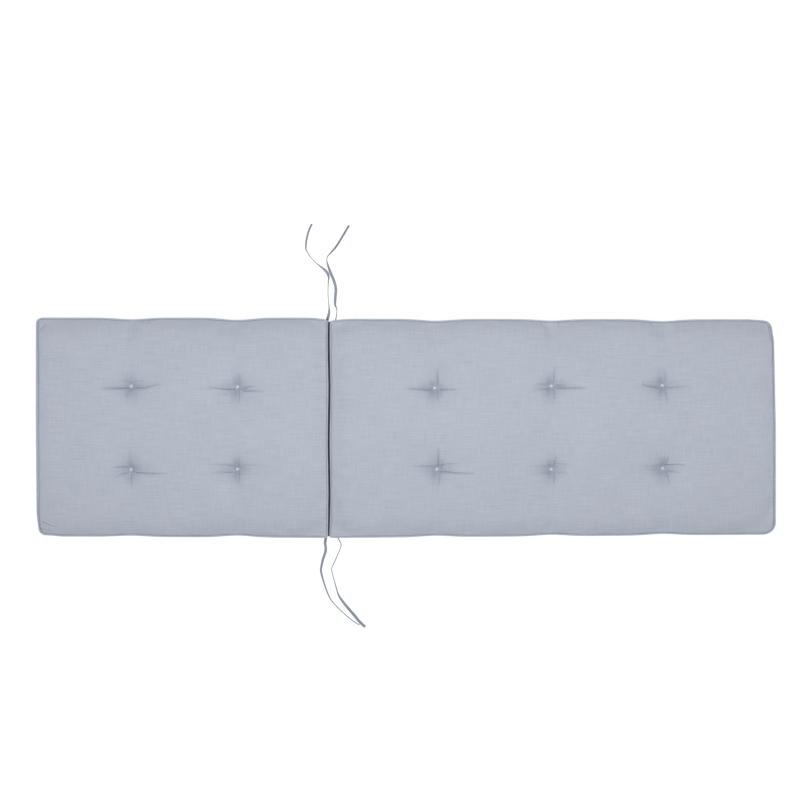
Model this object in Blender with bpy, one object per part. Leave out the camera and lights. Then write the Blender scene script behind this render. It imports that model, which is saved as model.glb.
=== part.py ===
"""A tufted lounger pad in two sections, with piping, buttons, a fold hinge and four ties.

The pad lies face up on the ground. X runs along it from the head end to the foot end, Y runs across it
from the front edge to the rear edge, and Z is up. The origin is on the ground under its middle.
"""
import bmesh
import bpy
import numpy as np
from collections import namedtuple
from math import cos, exp, hypot, pi, radians, sin
from mathutils import Vector

# Overall sizes, in metres
HEAD_X = -0.958
FOOT_X = 0.960
HALF_WIDTH = 0.2865
CROWN_HEIGHT = 0.056
TOP_SEAM_HEIGHT = 0.042
BOTTOM_SEAM_HEIGHT = 0.004
TOUCH = 1e-6

# The fold between the two sections
FOLD_X = -0.1981
FOLD_GAP = 0.0052
FOLD_WANDER = 0.0010
FOLD_WAVE_LENGTH = 0.264
FOLD_WAVE_START = 0.229
FOLD_WAVE_REACH = 0.060
FOLD_CLOSE = 0.0009
FOLD_CLOSE_START = 0.200

# Thin piping on the top seam, outermost all round, and the bulge of the wall under it
PIPING_RADIUS = 0.0017
PIPING_OUT = 0.0024
PIPING_LIFT = 0.0003
SEAM_INSET = PIPING_OUT + PIPING_RADIUS
WALL_BULGE = 0.0034
FOLD_BULGE = 0.0046
SEAM_DROP_PER_PULL = 0.6
SEAM_LIFT_FALL = 5

# How far in from an edge the crown rises, with a short steep start, and the underside's round edge reaches
SIDE_RUN = 0.052
SIDE_STEEP = 0.12
END_RUN = 0.034
STEEP_RUN = 0.0030
UNDER_RUN = 0.020

# A tuft: a wide shallow hollow with a narrow deep one in it, longer along the pad
TUFT_WIDE_RADIUS = 0.095
TUFT_WIDE_DEPTH = 0.006
TUFT_DEEP_RADIUS = 0.036
TUFT_DEEP_DEPTH = 0.018
TUFT_STRETCH = 1.15
TUFT_ROW_Y = 0.1070
UNDER_TUFT_RADIUS = 0.032
UNDER_TUFT_DEPTH = 0.005
NUDGE_RADIUS = 0.080

# Small domed buttons
BUTTON_RADIUS = 0.0046
BUTTON_RISE = 0.0026
BUTTON_BASE = 0.0014
BUTTON_GAP = 0.0006
BUTTON_SIDES = 10
BUTTON_RINGS = 6

# The cloth strip that joins the bottom seams
HINGE_THICKNESS = 0.0016
HINGE_GAP = 0.0012
HINGE_DROP = 0.0004
HINGE_SAG = 0.0022
HINGE_REAR_Y = 0.2753
HINGE_FRONT_Y = -0.2830
HINGE_STEPS_ACROSS = 6
HINGE_STEPS_ALONG = 14

# Narrow flat tapes
TIE_WIDTH = 0.0076
TIE_THICKNESS = 0.0020
TIE_STEP = 0.0065
TIE_LIFT = 0.0002
TIE_SAMPLES = 24

# Where the pad's faces are divided, in from an edge and out from a tuft
EDGE_STEPS = (0.0, 0.0015, 0.006, 0.021, 0.050)
TUFT_STEPS = (0.008, 0.018, 0.030, 0.055)
WALL_SHARES = (0.20, 0.50, 0.80)

# Each section's ends, its seam's rise there, how much of the crown rises steeply there, and its corner
# radii there, rear one first. Then how far its long edges lie from the middle at each end, and how far
# an end leans in at a corner
Section = namedtuple("Section", "name start end start_lift end_lift start_steep end_steep "
                     "start_radii end_radii rear_start rear_end front_start front_end start_lean end_lean")
SECTIONS = (
    Section(name="back", start=HEAD_X, end=FOLD_X - FOLD_GAP / 2,
            start_lift=0.006, end_lift=0.003, start_steep=0.60, end_steep=0.12,
            start_radii=(0.012, 0.020), end_radii=(0.003, 0.001),
            rear_start=0.2848, rear_end=0.2845, front_start=0.2822, front_end=0.2865,
            start_lean=0.0024, end_lean=0.0),
    Section(name="seat", start=FOLD_X + FOLD_GAP / 2, end=FOOT_X,
            start_lift=0.0, end_lift=0.006, start_steep=0.10, end_steep=0.60,
            start_radii=(0.003, 0.001), end_radii=(0.024, 0.029),
            rear_start=0.2815, rear_end=0.2801, front_start=0.2865, front_end=0.2774,
            start_lean=0.0, end_lean=0.0055),
)

# The corners where the top panel is drawn in, so that the wall shows past it
Tuck = namedtuple("Tuck", "section x y depth")
TUCKS = (
    Tuck("back", HEAD_X, -HALF_WIDTH, 0.0050),
    Tuck("seat", FOOT_X, HALF_WIDTH, 0.0060),
)
TUCK_REACH = 0.070

# Each pair of tufts, and how far the long edges are drawn in beside it
Column = namedtuple("Column", "section x rear_tuft front_tuft rear_pull front_pull")
COLUMNS = (
    Column("back", -0.7116, (-0.7116, 0.1076), (-0.7116, -0.1089), 0.0044, 0.0032),
    Column("back", -0.4360, (-0.4360, 0.1055), (-0.4360, -0.1084), 0.0059, 0.0049),
    Column("seat", 0.0790, (0.0761, 0.1024), (0.0818, -0.1084), 0.0047, 0.0037),
    Column("seat", 0.3782, (0.3782, 0.1076), (0.3782, -0.1084), 0.0040, 0.0038),
    Column("seat", 0.6672, (0.6665, 0.1094), (0.6678, -0.1058), 0.0053, 0.0038),
)
PULL_REACH = 0.050
EDGE_FALL = 3
LEAN_FALL = 4
FOLD_PULL = 0.0045
FOLD_PULL_REACH = 0.030

# Each tie's route on the ground: x and y in metres, and its turn, 0 lying flat and 90 on its edge
Stop = namedtuple("Stop", "x y turn")
TIES = {
    "tie_rear_back": (
        Stop(-0.2041, 0.2775, 0), Stop(-0.1995, 0.2935, 10), Stop(-0.1982, 0.3060, 60),
        Stop(-0.1993, 0.3200, 85), Stop(-0.2013, 0.3456, 90), Stop(-0.2008, 0.3755, 80),
        Stop(-0.1998, 0.3913, 55), Stop(-0.2042, 0.4032, 15), Stop(-0.2151, 0.4141, 55),
        Stop(-0.2319, 0.4271, 88), Stop(-0.2467, 0.4429, 90), Stop(-0.2567, 0.4587, 80),
        Stop(-0.2592, 0.4667, 68), Stop(-0.2573, 0.4877, 58), Stop(-0.2519, 0.5098, 55),
        Stop(-0.2436, 0.5292, 55)),
    "tie_rear_seat": (
        Stop(-0.1819, 0.2770, 82), Stop(-0.1788, 0.2961, 85), Stop(-0.1789, 0.3099, 80),
        Stop(-0.1828, 0.3189, 50), Stop(-0.1823, 0.3397, 10), Stop(-0.1809, 0.3596, 0),
        Stop(-0.1853, 0.3794, 0), Stop(-0.1941, 0.4011, 20), Stop(-0.2021, 0.4232, 62),
        Stop(-0.2045, 0.4351, 85), Stop(-0.2025, 0.4450, 85), Stop(-0.1972, 0.4509, 70),
        Stop(-0.1803, 0.4704, 52), Stop(-0.1625, 0.4988, 48), Stop(-0.1469, 0.5252, 48)),
    "tie_front_back": (
        Stop(-0.2067, -0.2843, 25), Stop(-0.2089, -0.3005, 30), Stop(-0.2073, -0.3197, 15),
        Stop(-0.2146, -0.3438, 35), Stop(-0.2188, -0.3630, 48), Stop(-0.2192, -0.3770, 50),
        Stop(-0.2120, -0.4030, 68), Stop(-0.2032, -0.4289, 72), Stop(-0.1936, -0.4481, 80),
        Stop(-0.1780, -0.4664, 86), Stop(-0.1606, -0.4832, 88), Stop(-0.1399, -0.5008, 86),
        Stop(-0.1196, -0.5142, 84)),
    "tie_front_seat": (
        Stop(-0.1774, -0.2845, 84), Stop(-0.1702, -0.2970, 88), Stop(-0.1671, -0.3065, 88),
        Stop(-0.1710, -0.3187, 86), Stop(-0.1806, -0.3412, 84), Stop(-0.1908, -0.3646, 86),
        Stop(-0.1914, -0.3734, 88), Stop(-0.1850, -0.3985, 86), Stop(-0.1780, -0.4237, 78),
        Stop(-0.1720, -0.4395, 55), Stop(-0.1573, -0.4603, 22), Stop(-0.1363, -0.4848, 5),
        Stop(-0.1188, -0.5060, 0), Stop(-0.1045, -0.5192, 0)),
}

# Each finish: colour in linear light, and roughness
Finish = namedtuple("Finish", "colour roughness")
FINISHES = {
    "cover_cloth": Finish((0.45, 0.49, 0.56), 0.90),
    "piping_cloth": Finish((0.42, 0.46, 0.53), 0.88),
    "button_cover": Finish((0.55, 0.60, 0.68), 0.45),
    "hinge_cloth": Finish((0.36, 0.39, 0.45), 0.92),
    "tie_tape": Finish((0.34, 0.38, 0.45), 0.88),
}


def fade(distance, reach):
    """A smooth hump: 1 at no distance, 0 from reach on."""
    share = min(abs(distance) / reach, 1.0)
    return (1.0 - share * share) ** 2


def rise(distance, run):
    """A round shoulder: 0 at the edge, 1 from run on."""
    share = min(max(distance, 0.0) / run, 1.0)
    return 1.0 - (1.0 - share) ** 2


def shoulder(distance, run, steep):
    """A round shoulder of which a share rises steeply at the very edge."""
    return steep * rise(distance, STEEP_RUN) + (1.0 - steep) * rise(distance, run)


def tufts(section):
    """The tuft places of one section, as x and y pairs."""
    own = [column for column in COLUMNS if column.section == section.name]
    return [place for column in own for place in (column.rear_tuft, column.front_tuft)]


def edge_pull(x, rear):
    """How far a long edge is drawn in at x."""
    pull = 0.0
    for column in COLUMNS:
        depth = column.rear_pull if rear else column.front_pull
        pull += depth * exp(-((x - column.x) / PULL_REACH) ** 2)
    if rear:
        pull += FOLD_PULL * exp(-((x - FOLD_X) / FOLD_PULL_REACH) ** 2)
    return pull


def edge_y(section, x, rear):
    """The rear or the front edge at x, as a distance from the middle."""
    along = (x - section.start) / (section.end - section.start)
    first, last = (section.rear_start, section.rear_end) if rear else (section.front_start, section.front_end)
    return first + (last - first) * along - edge_pull(x, rear)


def fold_shift(x, y):
    """How far a point near the fold follows its slight wander, and its closing towards the front."""
    wave = -FOLD_WANDER * cos(2.0 * pi * (y - FOLD_WAVE_START) / FOLD_WAVE_LENGTH)
    towards = min(max((FOLD_X - x) / FOLD_GAP, -1.0), 1.0)
    close = FOLD_CLOSE * rise(-y - FOLD_CLOSE_START, HALF_WIDTH - FOLD_CLOSE_START)
    return (wave + towards * close) * exp(-abs(x - FOLD_X) / FOLD_WAVE_REACH)


def warp(section, x, y):
    """Carry a point of the plain rectangle to its place in the uneven outline."""
    share = abs(y) / HALF_WIDTH
    side = 1.0 if y > 0 else -1.0
    new_y = y + side * (edge_y(section, x, y > 0) - HALF_WIDTH) * share ** EDGE_FALL
    along = (x - section.start) / (section.end - section.start)
    end_lean = section.end_lean * max(y, 0.0) / HALF_WIDTH * max(along, 0.0) ** LEAN_FALL
    start_lean = section.start_lean * max(-y, 0.0) / HALF_WIDTH * (1.0 - along) ** LEAN_FALL
    new_x = x - end_lean + start_lean + fold_shift(x, y)
    for column in COLUMNS:
        if column.section == section.name:
            tuft = column.rear_tuft if y > 0 else column.front_tuft
            near = fade(hypot(x - column.x, abs(y) - TUFT_ROW_Y), NUDGE_RADIUS)
            new_x += (tuft[0] - column.x) * near
            new_y += (tuft[1] - side * TUFT_ROW_Y) * near
    return new_x, new_y


def seam_box(section):
    """The seam's plain rectangle: low x, high x and half width."""
    return section.start + SEAM_INSET, section.end - SEAM_INSET, HALF_WIDTH - SEAM_INSET


def seam_radius(section, x, y):
    """The radius of the seam's corner nearest to a point."""
    low, high, _ = seam_box(section)
    radii = section.start_radii if x < (low + high) / 2 else section.end_radii
    return radii[0] if y > 0 else radii[1]


def round_corner(section, x, y):
    """Turn the square corners of the seam's rectangle into arcs."""
    low, high, half = seam_box(section)
    radius = seam_radius(section, x, y)
    side_x = -1.0 if x < (low + high) / 2 else 1.0
    side_y = 1.0 if y > 0 else -1.0
    centre_x = (low if side_x < 0 else high) - side_x * radius
    centre_y = side_y * (half - radius)
    a = (x - centre_x) * side_x / radius
    b = (y - centre_y) * side_y / radius
    if a <= 0.0 or b <= 0.0:
        return x, y
    return (centre_x + side_x * radius * a * (1.0 - b * b / 2.0) ** 0.5,
            centre_y + side_y * radius * b * (1.0 - a * a / 2.0) ** 0.5)


def outward(section, x, y):
    """The level direction straight out of the rim at a point of the rounded rectangle."""
    low, high, half = seam_box(section)
    radius = seam_radius(section, x, y)
    core_x = min(max(x, low + radius), high - radius)
    core_y = min(max(y, radius - half), half - radius)
    return Vector((x - core_x, y - core_y)).normalized()


def corner_tuck(section, x, y):
    """How far the top panel is drawn in at a point near a tucked corner."""
    low, high, half = seam_box(section)
    gap = min(half - abs(y), x - low, high - x)
    near_rim = 1.0 - min(max(gap, 0.0) / seam_radius(section, x, y), 1.0)
    own = [tuck for tuck in TUCKS if tuck.section == section.name]
    return sum(tuck.depth * fade(hypot(x - tuck.x, y - tuck.y), TUCK_REACH) for tuck in own) * near_rim


def wall_bulge(section, x, y):
    """How far the wall bulges out at a point of the rim, most beside the fold."""
    away = outward(section, *round_corner(section, x, y))
    beside_fold = away.x ** 2 if abs(x - FOLD_X) < PULL_REACH else 0.0
    return WALL_BULGE + (FOLD_BULGE - WALL_BULGE) * beside_fold


def rim_point(section, x, y, out, share=1.0):
    """A point of the uneven outline, pushed out of the seam; the share is its height on the wall."""
    rounded = round_corner(section, x, y)
    away = outward(section, *rounded) * (out - corner_tuck(section, x, y) * share ** 2)
    return warp(section, rounded[0] + away.x, rounded[1] + away.y)


def seam_height(section, x, y):
    """The top seam's height: lifted in the middle of each end, lower where the edge is drawn in."""
    along = (x - section.start) / (section.end - section.start)
    share = min(abs(y) / HALF_WIDTH, 1.0)
    lift = section.start_lift + (section.end_lift - section.start_lift) * along
    drop = SEAM_DROP_PER_PULL * edge_pull(x, y > 0) * share ** EDGE_FALL
    return TOP_SEAM_HEIGHT + lift * (1.0 - share ** SEAM_LIFT_FALL) - drop


def tuft_distances(section, x, y):
    """The distance from a point to each tuft, measured shorter along the pad."""
    return [hypot((x - place[0]) / TUFT_STRETCH, y - place[1]) for place in tufts(section)]


def top_height(section, x, y, side_gap, end_gap):
    """The height of the upper face: seam, crown and tufts."""
    seam = seam_height(section, x, y)
    low, high, _ = seam_box(section)
    steep = section.start_steep if x < (low + high) / 2 else section.end_steep
    crown = shoulder(side_gap, SIDE_RUN, SIDE_STEEP) * shoulder(end_gap, END_RUN, steep)
    hollow = 0.0
    for distance in tuft_distances(section, x, y):
        hollow += TUFT_WIDE_DEPTH * fade(distance, TUFT_WIDE_RADIUS)
        hollow += TUFT_DEEP_DEPTH * fade(distance, TUFT_DEEP_RADIUS)
    return seam + (CROWN_HEIGHT - seam) * crown - hollow


def under_height(section, x, y, side_gap, end_gap):
    """The height of the underside: flat on the ground, round at the rim, dimpled at the tufts."""
    rim = BOTTOM_SEAM_HEIGHT * (1.0 - rise(min(side_gap, end_gap), UNDER_RUN))
    dimple = sum(fade(distance, UNDER_TUFT_RADIUS) for distance in tuft_distances(section, x, y))
    return rim + UNDER_TUFT_DEPTH * dimple


def sliced_box(low, high, cuts):
    """A box from corner to corner, cut across each axis at the given places."""
    mesh = bmesh.new()
    bmesh.ops.create_cube(mesh, size=1.0)
    bmesh.ops.scale(mesh, vec=high - low, verts=mesh.verts)
    bmesh.ops.translate(mesh, vec=(high + low) / 2, verts=mesh.verts)
    for axis, places in enumerate(cuts):
        normal = Vector((0.0, 0.0, 0.0))
        normal[axis] = 1.0
        for place in places:
            pieces = mesh.verts[:] + mesh.edges[:] + mesh.faces[:]
            bmesh.ops.bisect_plane(mesh, geom=pieces, dist=TOUCH, plane_co=normal * place, plane_no=normal)
    return mesh


def length_stations(section):
    """Where a section is divided along its length, its two ends included."""
    low, high, _ = seam_box(section)
    places = [low + step for step in EDGE_STEPS] + [high - step for step in EDGE_STEPS]
    columns = [column.x for column in COLUMNS if column.section == section.name]
    for x in columns:
        places += [x] + [x + side * step for step in TUFT_STEPS for side in (-1.0, 1.0)]
    stops = [low] + columns + [high]
    places += [(first + second) / 2 for first, second in zip(stops, stops[1:])]
    return sorted(set(places))


def width_stations():
    """Where a section is divided across its width, its two edges included."""
    half = HALF_WIDTH - SEAM_INSET
    places = [0.0]
    for side in (-1.0, 1.0):
        places += [side * (half - step) for step in EDGE_STEPS]
        places += [side * TUFT_ROW_Y]
        places += [side * (TUFT_ROW_Y + sign * step) for step in TUFT_STEPS for sign in (-1.0, 1.0)]
    return sorted(set(places))


def finish_object(name, data, collection, finish):
    """Add an object to a collection, dressed in one finish."""
    thing = bpy.data.objects.new(name, data)
    data.materials.append(bpy.data.materials[finish])
    collection.objects.link(thing)
    return thing


def mesh_object(name, mesh, collection, finish):
    """Turn a bmesh into a smooth shaded object."""
    bmesh.ops.recalc_face_normals(mesh, faces=mesh.faces)
    data = bpy.data.meshes.new(name)
    mesh.to_mesh(data)
    mesh.free()
    data.shade_smooth()
    return finish_object(name, data, collection, finish)


def pad_point(section, point):
    """Carry a point of the plain box to the filled pad's surface; its z is the share of the height."""
    low, high, half = seam_box(section)
    x, y, share = point
    side_gap = half - abs(y)
    end_gap = min(x - low, high - x)
    bulge = 0.0
    if min(side_gap, end_gap) < TOUCH:
        bulge = wall_bulge(section, x, y) * sin(pi * min(max(share, 0.0), 1.0))
    new_x, new_y = rim_point(section, x, y, bulge, share)
    top = top_height(section, new_x, new_y, side_gap, end_gap)
    under = under_height(section, new_x, new_y, side_gap, end_gap)
    return Vector((new_x, new_y, under + (top - under) * share))


def make_pad(section, collection):
    """One boxed and filled section, with its crown, drawn-in edges and tufts."""
    low, high, half = seam_box(section)
    along = length_stations(section)[1:-1]
    across = width_stations()[1:-1]
    mesh = sliced_box(Vector((low, -half, 0.0)), Vector((high, half, 1.0)), (along, across, WALL_SHARES))
    for vertex in mesh.verts:
        vertex.co = pad_point(section, vertex.co)
    return mesh_object(section.name + "_pad", mesh, collection, "cover_cloth")


def seam_route(section, out):
    """The points round a section's top seam, pushed out of it by a distance."""
    along = length_stations(section)
    across = width_stations()
    low, high, half = seam_box(section)
    loop = [(x, -half) for x in along[:-1]]
    loop += [(high, y) for y in across[:-1]]
    loop += [(x, half) for x in reversed(along[1:])]
    loop += [(low, y) for y in reversed(across[1:])]
    places = [rim_point(section, x, y, out) for x, y in loop]
    return [Vector((x, y, seam_height(section, x, y) + PIPING_LIFT)) for x, y in places]


def poly_curve(name, points, turns, cyclic):
    """A curve of straight steps through the points, with a turn of its section at each."""
    curve = bpy.data.curves.new(name, "CURVE")
    curve.dimensions = "3D"
    curve.twist_mode = "Z_UP"
    curve.use_fill_caps = True
    spline = curve.splines.new("POLY")
    spline.points.add(len(points) - 1)
    for spot, point, turn in zip(spline.points, points, turns):
        spot.co = (*point, 1.0)
        spot.tilt = turn
    spline.use_cyclic_u = cyclic
    return curve


def make_piping(section, collection):
    """The piping that runs round the top seam of a section."""
    points = seam_route(section, PIPING_OUT)
    curve = poly_curve(section.name + "_piping", points, [0.0] * len(points), True)
    curve.bevel_depth = PIPING_RADIUS
    curve.bevel_resolution = 1
    return finish_object(section.name + "_piping", curve, collection, "piping_cloth")


def make_buttons(collection):
    """A domed button in each tuft, all of one mesh."""
    mesh = bmesh.new()
    bmesh.ops.create_uvsphere(mesh, u_segments=BUTTON_SIDES, v_segments=BUTTON_RINGS, radius=1.0)
    for vertex in mesh.verts:
        tall = BUTTON_RISE if vertex.co.z > 0 else BUTTON_BASE
        vertex.co = Vector((vertex.co.x * BUTTON_RADIUS, vertex.co.y * BUTTON_RADIUS, vertex.co.z * tall))
    first = mesh_object("button_1", mesh, collection, "button_cover")
    number = 0
    for section in SECTIONS:
        low, high, half = seam_box(section)
        for x, y in tufts(section):
            number += 1
            button = first
            if number > 1:
                button = bpy.data.objects.new(f"button_{number}", first.data)
                collection.objects.link(button)
            floor = top_height(section, x, y, half - abs(y), min(x - low, high - x))
            button.location = (x, y, floor + BUTTON_GAP + BUTTON_BASE)


def hinge_point(point):
    """Carry a point of the unit box to the hinge: x across the fold, y along it, z its thickness."""
    share_x, share_y, share_z = point
    y = HINGE_FRONT_Y + (HINGE_REAR_Y - HINGE_FRONT_Y) * share_y
    left = SECTIONS[0].end - SEAM_INSET + HINGE_GAP
    right = SECTIONS[1].start + SEAM_INSET - HINGE_GAP
    x = left + (right - left) * share_x
    sag = HINGE_SAG * sin(pi * share_x)
    z = BOTTOM_SEAM_HEIGHT - HINGE_DROP - sag + HINGE_THICKNESS * (share_z - 0.5)
    return Vector((x + fold_shift(FOLD_X, y), y, z))


def make_hinge(collection):
    """The cloth strip that joins the two bottom seams and sags a little between them."""
    across = [step / HINGE_STEPS_ACROSS for step in range(1, HINGE_STEPS_ACROSS)]
    along = [step / HINGE_STEPS_ALONG for step in range(1, HINGE_STEPS_ALONG)]
    mesh = sliced_box(Vector((0.0, 0.0, 0.0)), Vector((1.0, 1.0, 1.0)), (across, along, ()))
    for vertex in mesh.verts:
        vertex.co = hinge_point(vertex.co)
    return mesh_object("fold_hinge", mesh, collection, "hinge_cloth")


def smooth_route(stops, step):
    """Rows of x, y and turn at even steps along a smooth curve through the stops."""
    rows = np.array(stops, float)
    rows = np.vstack([2 * rows[0] - rows[1], rows, 2 * rows[-1] - rows[-2]])
    fine = []
    for before, first, second, after in zip(rows, rows[1:], rows[2:], rows[3:]):
        for t in np.linspace(0.0, 1.0, TIE_SAMPLES, endpoint=False):
            fine.append(0.5 * (2 * first + (second - before) * t
                               + (2 * before - 5 * first + 4 * second - after) * t ** 2
                               + (3 * first - before - 3 * second + after) * t ** 3))
    fine.append(rows[-2])
    fine = np.array(fine)
    lengths = np.hypot(*np.diff(fine[:, :2], axis=0).T)
    run = np.concatenate([[0.0], np.cumsum(lengths)])
    even = np.linspace(0.0, run[-1], round(run[-1] / step) + 1)
    return np.column_stack([np.interp(even, run, fine[:, column]) for column in range(3)])


def make_tie(name, stops, collection):
    """A flat tape that lies on the ground and turns from flat to edge on along its route."""
    points = []
    turns = []
    for x, y, degrees in smooth_route(stops, TIE_STEP):
        turn = radians(min(max(degrees, 0.0), 90.0))
        height = (TIE_WIDTH * sin(turn) + TIE_THICKNESS * cos(turn)) / 2 + TIE_LIFT
        points.append(Vector((x, y, height)))
        turns.append(pi / 2 - turn)
    curve = poly_curve(name, points, turns, False)
    curve.bevel_depth = TIE_THICKNESS / 2
    curve.extrude = TIE_WIDTH / 2 - curve.bevel_depth
    curve.bevel_resolution = 0
    return finish_object(name, curve, collection, "tie_tape")


def make_materials():
    """One material for each finish."""
    for name, finish in FINISHES.items():
        material = bpy.data.materials.new(name)
        material.use_nodes = True
        shader = material.node_tree.nodes["Principled BSDF"]
        shader.inputs["Base Color"].default_value = (*finish.colour, 1.0)
        shader.inputs["Roughness"].default_value = finish.roughness
        shader.inputs["Metallic"].default_value = 0.0


def main():
    """Clear the scene and build the pad."""
    for thing in list(bpy.data.objects):
        bpy.data.objects.remove(thing, do_unlink=True)
    collection = bpy.data.collections.new("lounger_pad")
    bpy.context.scene.collection.children.link(collection)
    make_materials()
    for section in SECTIONS:
        make_pad(section, collection)
        make_piping(section, collection)
    make_buttons(collection)
    make_hinge(collection)
    for name, stops in TIES.items():
        make_tie(name, stops, collection)


main()
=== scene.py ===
"""Dresses a tufted lounger pad: two filled sections, piping, buttons, a fold hinge and four ties.

The pad lies face up on a pale floor, and the camera looks straight down on it.
"""
from __future__ import annotations

import logging
import math
from dataclasses import dataclass
from enum import Enum
from typing import Any, Iterable, Sequence

import bmesh
import bpy
import numpy as np
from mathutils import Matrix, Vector

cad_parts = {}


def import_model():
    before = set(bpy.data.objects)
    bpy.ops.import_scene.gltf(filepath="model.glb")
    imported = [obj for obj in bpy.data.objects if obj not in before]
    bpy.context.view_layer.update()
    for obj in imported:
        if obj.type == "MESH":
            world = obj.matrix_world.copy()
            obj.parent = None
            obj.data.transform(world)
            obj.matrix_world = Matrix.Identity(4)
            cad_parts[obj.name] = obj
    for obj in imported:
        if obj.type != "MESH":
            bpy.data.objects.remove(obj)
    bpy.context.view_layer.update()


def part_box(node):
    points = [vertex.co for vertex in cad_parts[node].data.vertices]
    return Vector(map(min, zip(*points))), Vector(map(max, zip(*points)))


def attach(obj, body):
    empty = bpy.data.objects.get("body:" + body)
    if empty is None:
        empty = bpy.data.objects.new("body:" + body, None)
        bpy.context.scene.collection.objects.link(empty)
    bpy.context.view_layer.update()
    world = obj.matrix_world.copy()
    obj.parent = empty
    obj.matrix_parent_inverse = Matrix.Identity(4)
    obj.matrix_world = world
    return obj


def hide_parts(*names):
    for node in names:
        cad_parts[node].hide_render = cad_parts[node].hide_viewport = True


LOG = logging.getLogger("lounger_pad")

# The body that every piece rides on
BODY = "root"

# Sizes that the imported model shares, in metres
HEAD_X = -0.958
FOOT_X = 0.960
HALF_WIDTH = 0.2865
CROWN_HEIGHT = 0.056
TOP_SEAM_HEIGHT = 0.042
BOTTOM_SEAM_HEIGHT = 0.004
FOLD_X = -0.1981
FOLD_GAP = 0.0052
PIPING_RADIUS = 0.0017
PIPING_OUT = 0.0024
PIPING_LIFT = 0.0003
SEAM_INSET = PIPING_OUT + PIPING_RADIUS
WALL_BULGE = 0.0034
FOLD_BULGE = 0.0046
TUFT_ROW_Y = 0.1070
TOUCH = 1e-6
MM_PER_METRE = 1000.0

# A face or a point whose normal's Z is above this is on the upper side
UPWARD = 0.3

# The map that every cloth reads, and the attribute of painted shade that darkens the cloth round the tufts
# and along the creases
CLOTH_MAP = "cloth"
PAINTED_SHADE = "painted_shade"

Colour = tuple[float, float, float, float]
Pair = tuple[np.ndarray, np.ndarray]


class Edge(Enum):
    """A long edge of the pad, by the sign of its Y."""

    REAR = 1.0
    FRONT = -1.0


class Lip(Enum):
    """Which side of a crease, seen from its start, stands up more."""

    LEFT = 1.0
    EVEN = 0.0
    RIGHT = -1.0


def fade(distance: np.ndarray, reach: float) -> np.ndarray:
    """A smooth hump: 1 at no distance, 0 from reach on."""
    share = np.minimum(np.abs(distance) / reach, 1.0)
    return (1.0 - share * share) ** 2


def rise(distance: np.ndarray, run: float) -> np.ndarray:
    """A round shoulder: 0 at the edge, 1 from run on."""
    share = np.clip(distance / run, 0.0, 1.0)
    return 1.0 - (1.0 - share) ** 2


def lengths_along(points: np.ndarray) -> np.ndarray:
    """How far along its line each row is, from 0 on."""
    return np.concatenate([[0.0], np.cumsum(np.linalg.norm(np.diff(points, axis=0), axis=1))])


def read_at(places: np.ndarray, run: np.ndarray, rows: np.ndarray) -> np.ndarray:
    """The rows of a table at places between those of its run."""
    return np.column_stack([np.interp(places, run, column) for column in rows.T])


def smooth_line(stops: np.ndarray, samples: int) -> np.ndarray:
    """Rows along a smooth line that passes through every stop.

    Args:
        stops: The stops, one row each.
        samples: How many rows there are between two stops.

    Returns:
        The rows, of as many columns as the stops.
    """
    stops = np.vstack([2 * stops[0] - stops[1], stops, 2 * stops[-1] - stops[-2]])
    fine = []
    for before, first, second, after in zip(stops, stops[1:], stops[2:], stops[3:]):
        for t in np.linspace(0.0, 1.0, samples, endpoint=False):
            fine.append(0.5 * (2 * first + (second - before) * t
                               + (2 * before - 5 * first + 4 * second - after) * t ** 2
                               + (3 * first - before - 3 * second + after) * t ** 3))
    fine.append(stops[-2])
    return np.array(fine)


class Wire:
    """A number that runs through a shader, so that maths on it adds Math nodes."""

    def __init__(self, bench: Bench, socket: bpy.types.NodeSocket) -> None:
        """Hold a socket of the bench's material."""
        self.bench = bench
        self.socket = socket

    def _join(self, operation: str, first: Any, second: Any = 0.0, clamp: bool = False) -> Wire:
        """Add one Math node.

        Args:
            operation: The Math node's operation.
            first: Its first input, a wire or a number.
            second: Its second input, a wire or a number.
            clamp: Whether the result stays from 0 to 1.

        Returns:
            The result as a wire.
        """
        settings = {"operation": operation, "use_clamp": clamp}
        return self.bench.add("ShaderNodeMath", settings, {0: first, 1: second}).out(0)

    def __add__(self, other: Any) -> Wire:
        """Wire plus a wire or number."""
        return self._join("ADD", self, other)

    def __radd__(self, other: Any) -> Wire:
        """Number plus wire."""
        return self._join("ADD", other, self)

    def __sub__(self, other: Any) -> Wire:
        """Wire minus a wire or number."""
        return self._join("SUBTRACT", self, other)

    def __rsub__(self, other: Any) -> Wire:
        """Number minus wire."""
        return self._join("SUBTRACT", other, self)

    def __mul__(self, other: Any) -> Wire:
        """Wire times a wire or number."""
        return self._join("MULTIPLY", self, other)

    def sine(self) -> Wire:
        """The sine of the wire."""
        return self._join("SINE", self)

    def absolute(self) -> Wire:
        """The wire without its sign."""
        return self._join("ABSOLUTE", self)

    def above(self, level: float) -> Wire:
        """1 where the wire is above a level and 0 elsewhere."""
        return self._join("GREATER_THAN", self, level)

    def clamped(self) -> Wire:
        """The wire kept from 0 to 1."""
        return self._join("ADD", self, 0.0, clamp=True)


class Placed:
    """A node on the bench."""

    def __init__(self, bench: Bench, node: bpy.types.Node) -> None:
        """Hold one node."""
        self.bench = bench
        self.node = node

    def out(self, key: int | str) -> Wire:
        """One of the node's outputs as a wire."""
        return Wire(self.bench, self.node.outputs[key])


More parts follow.
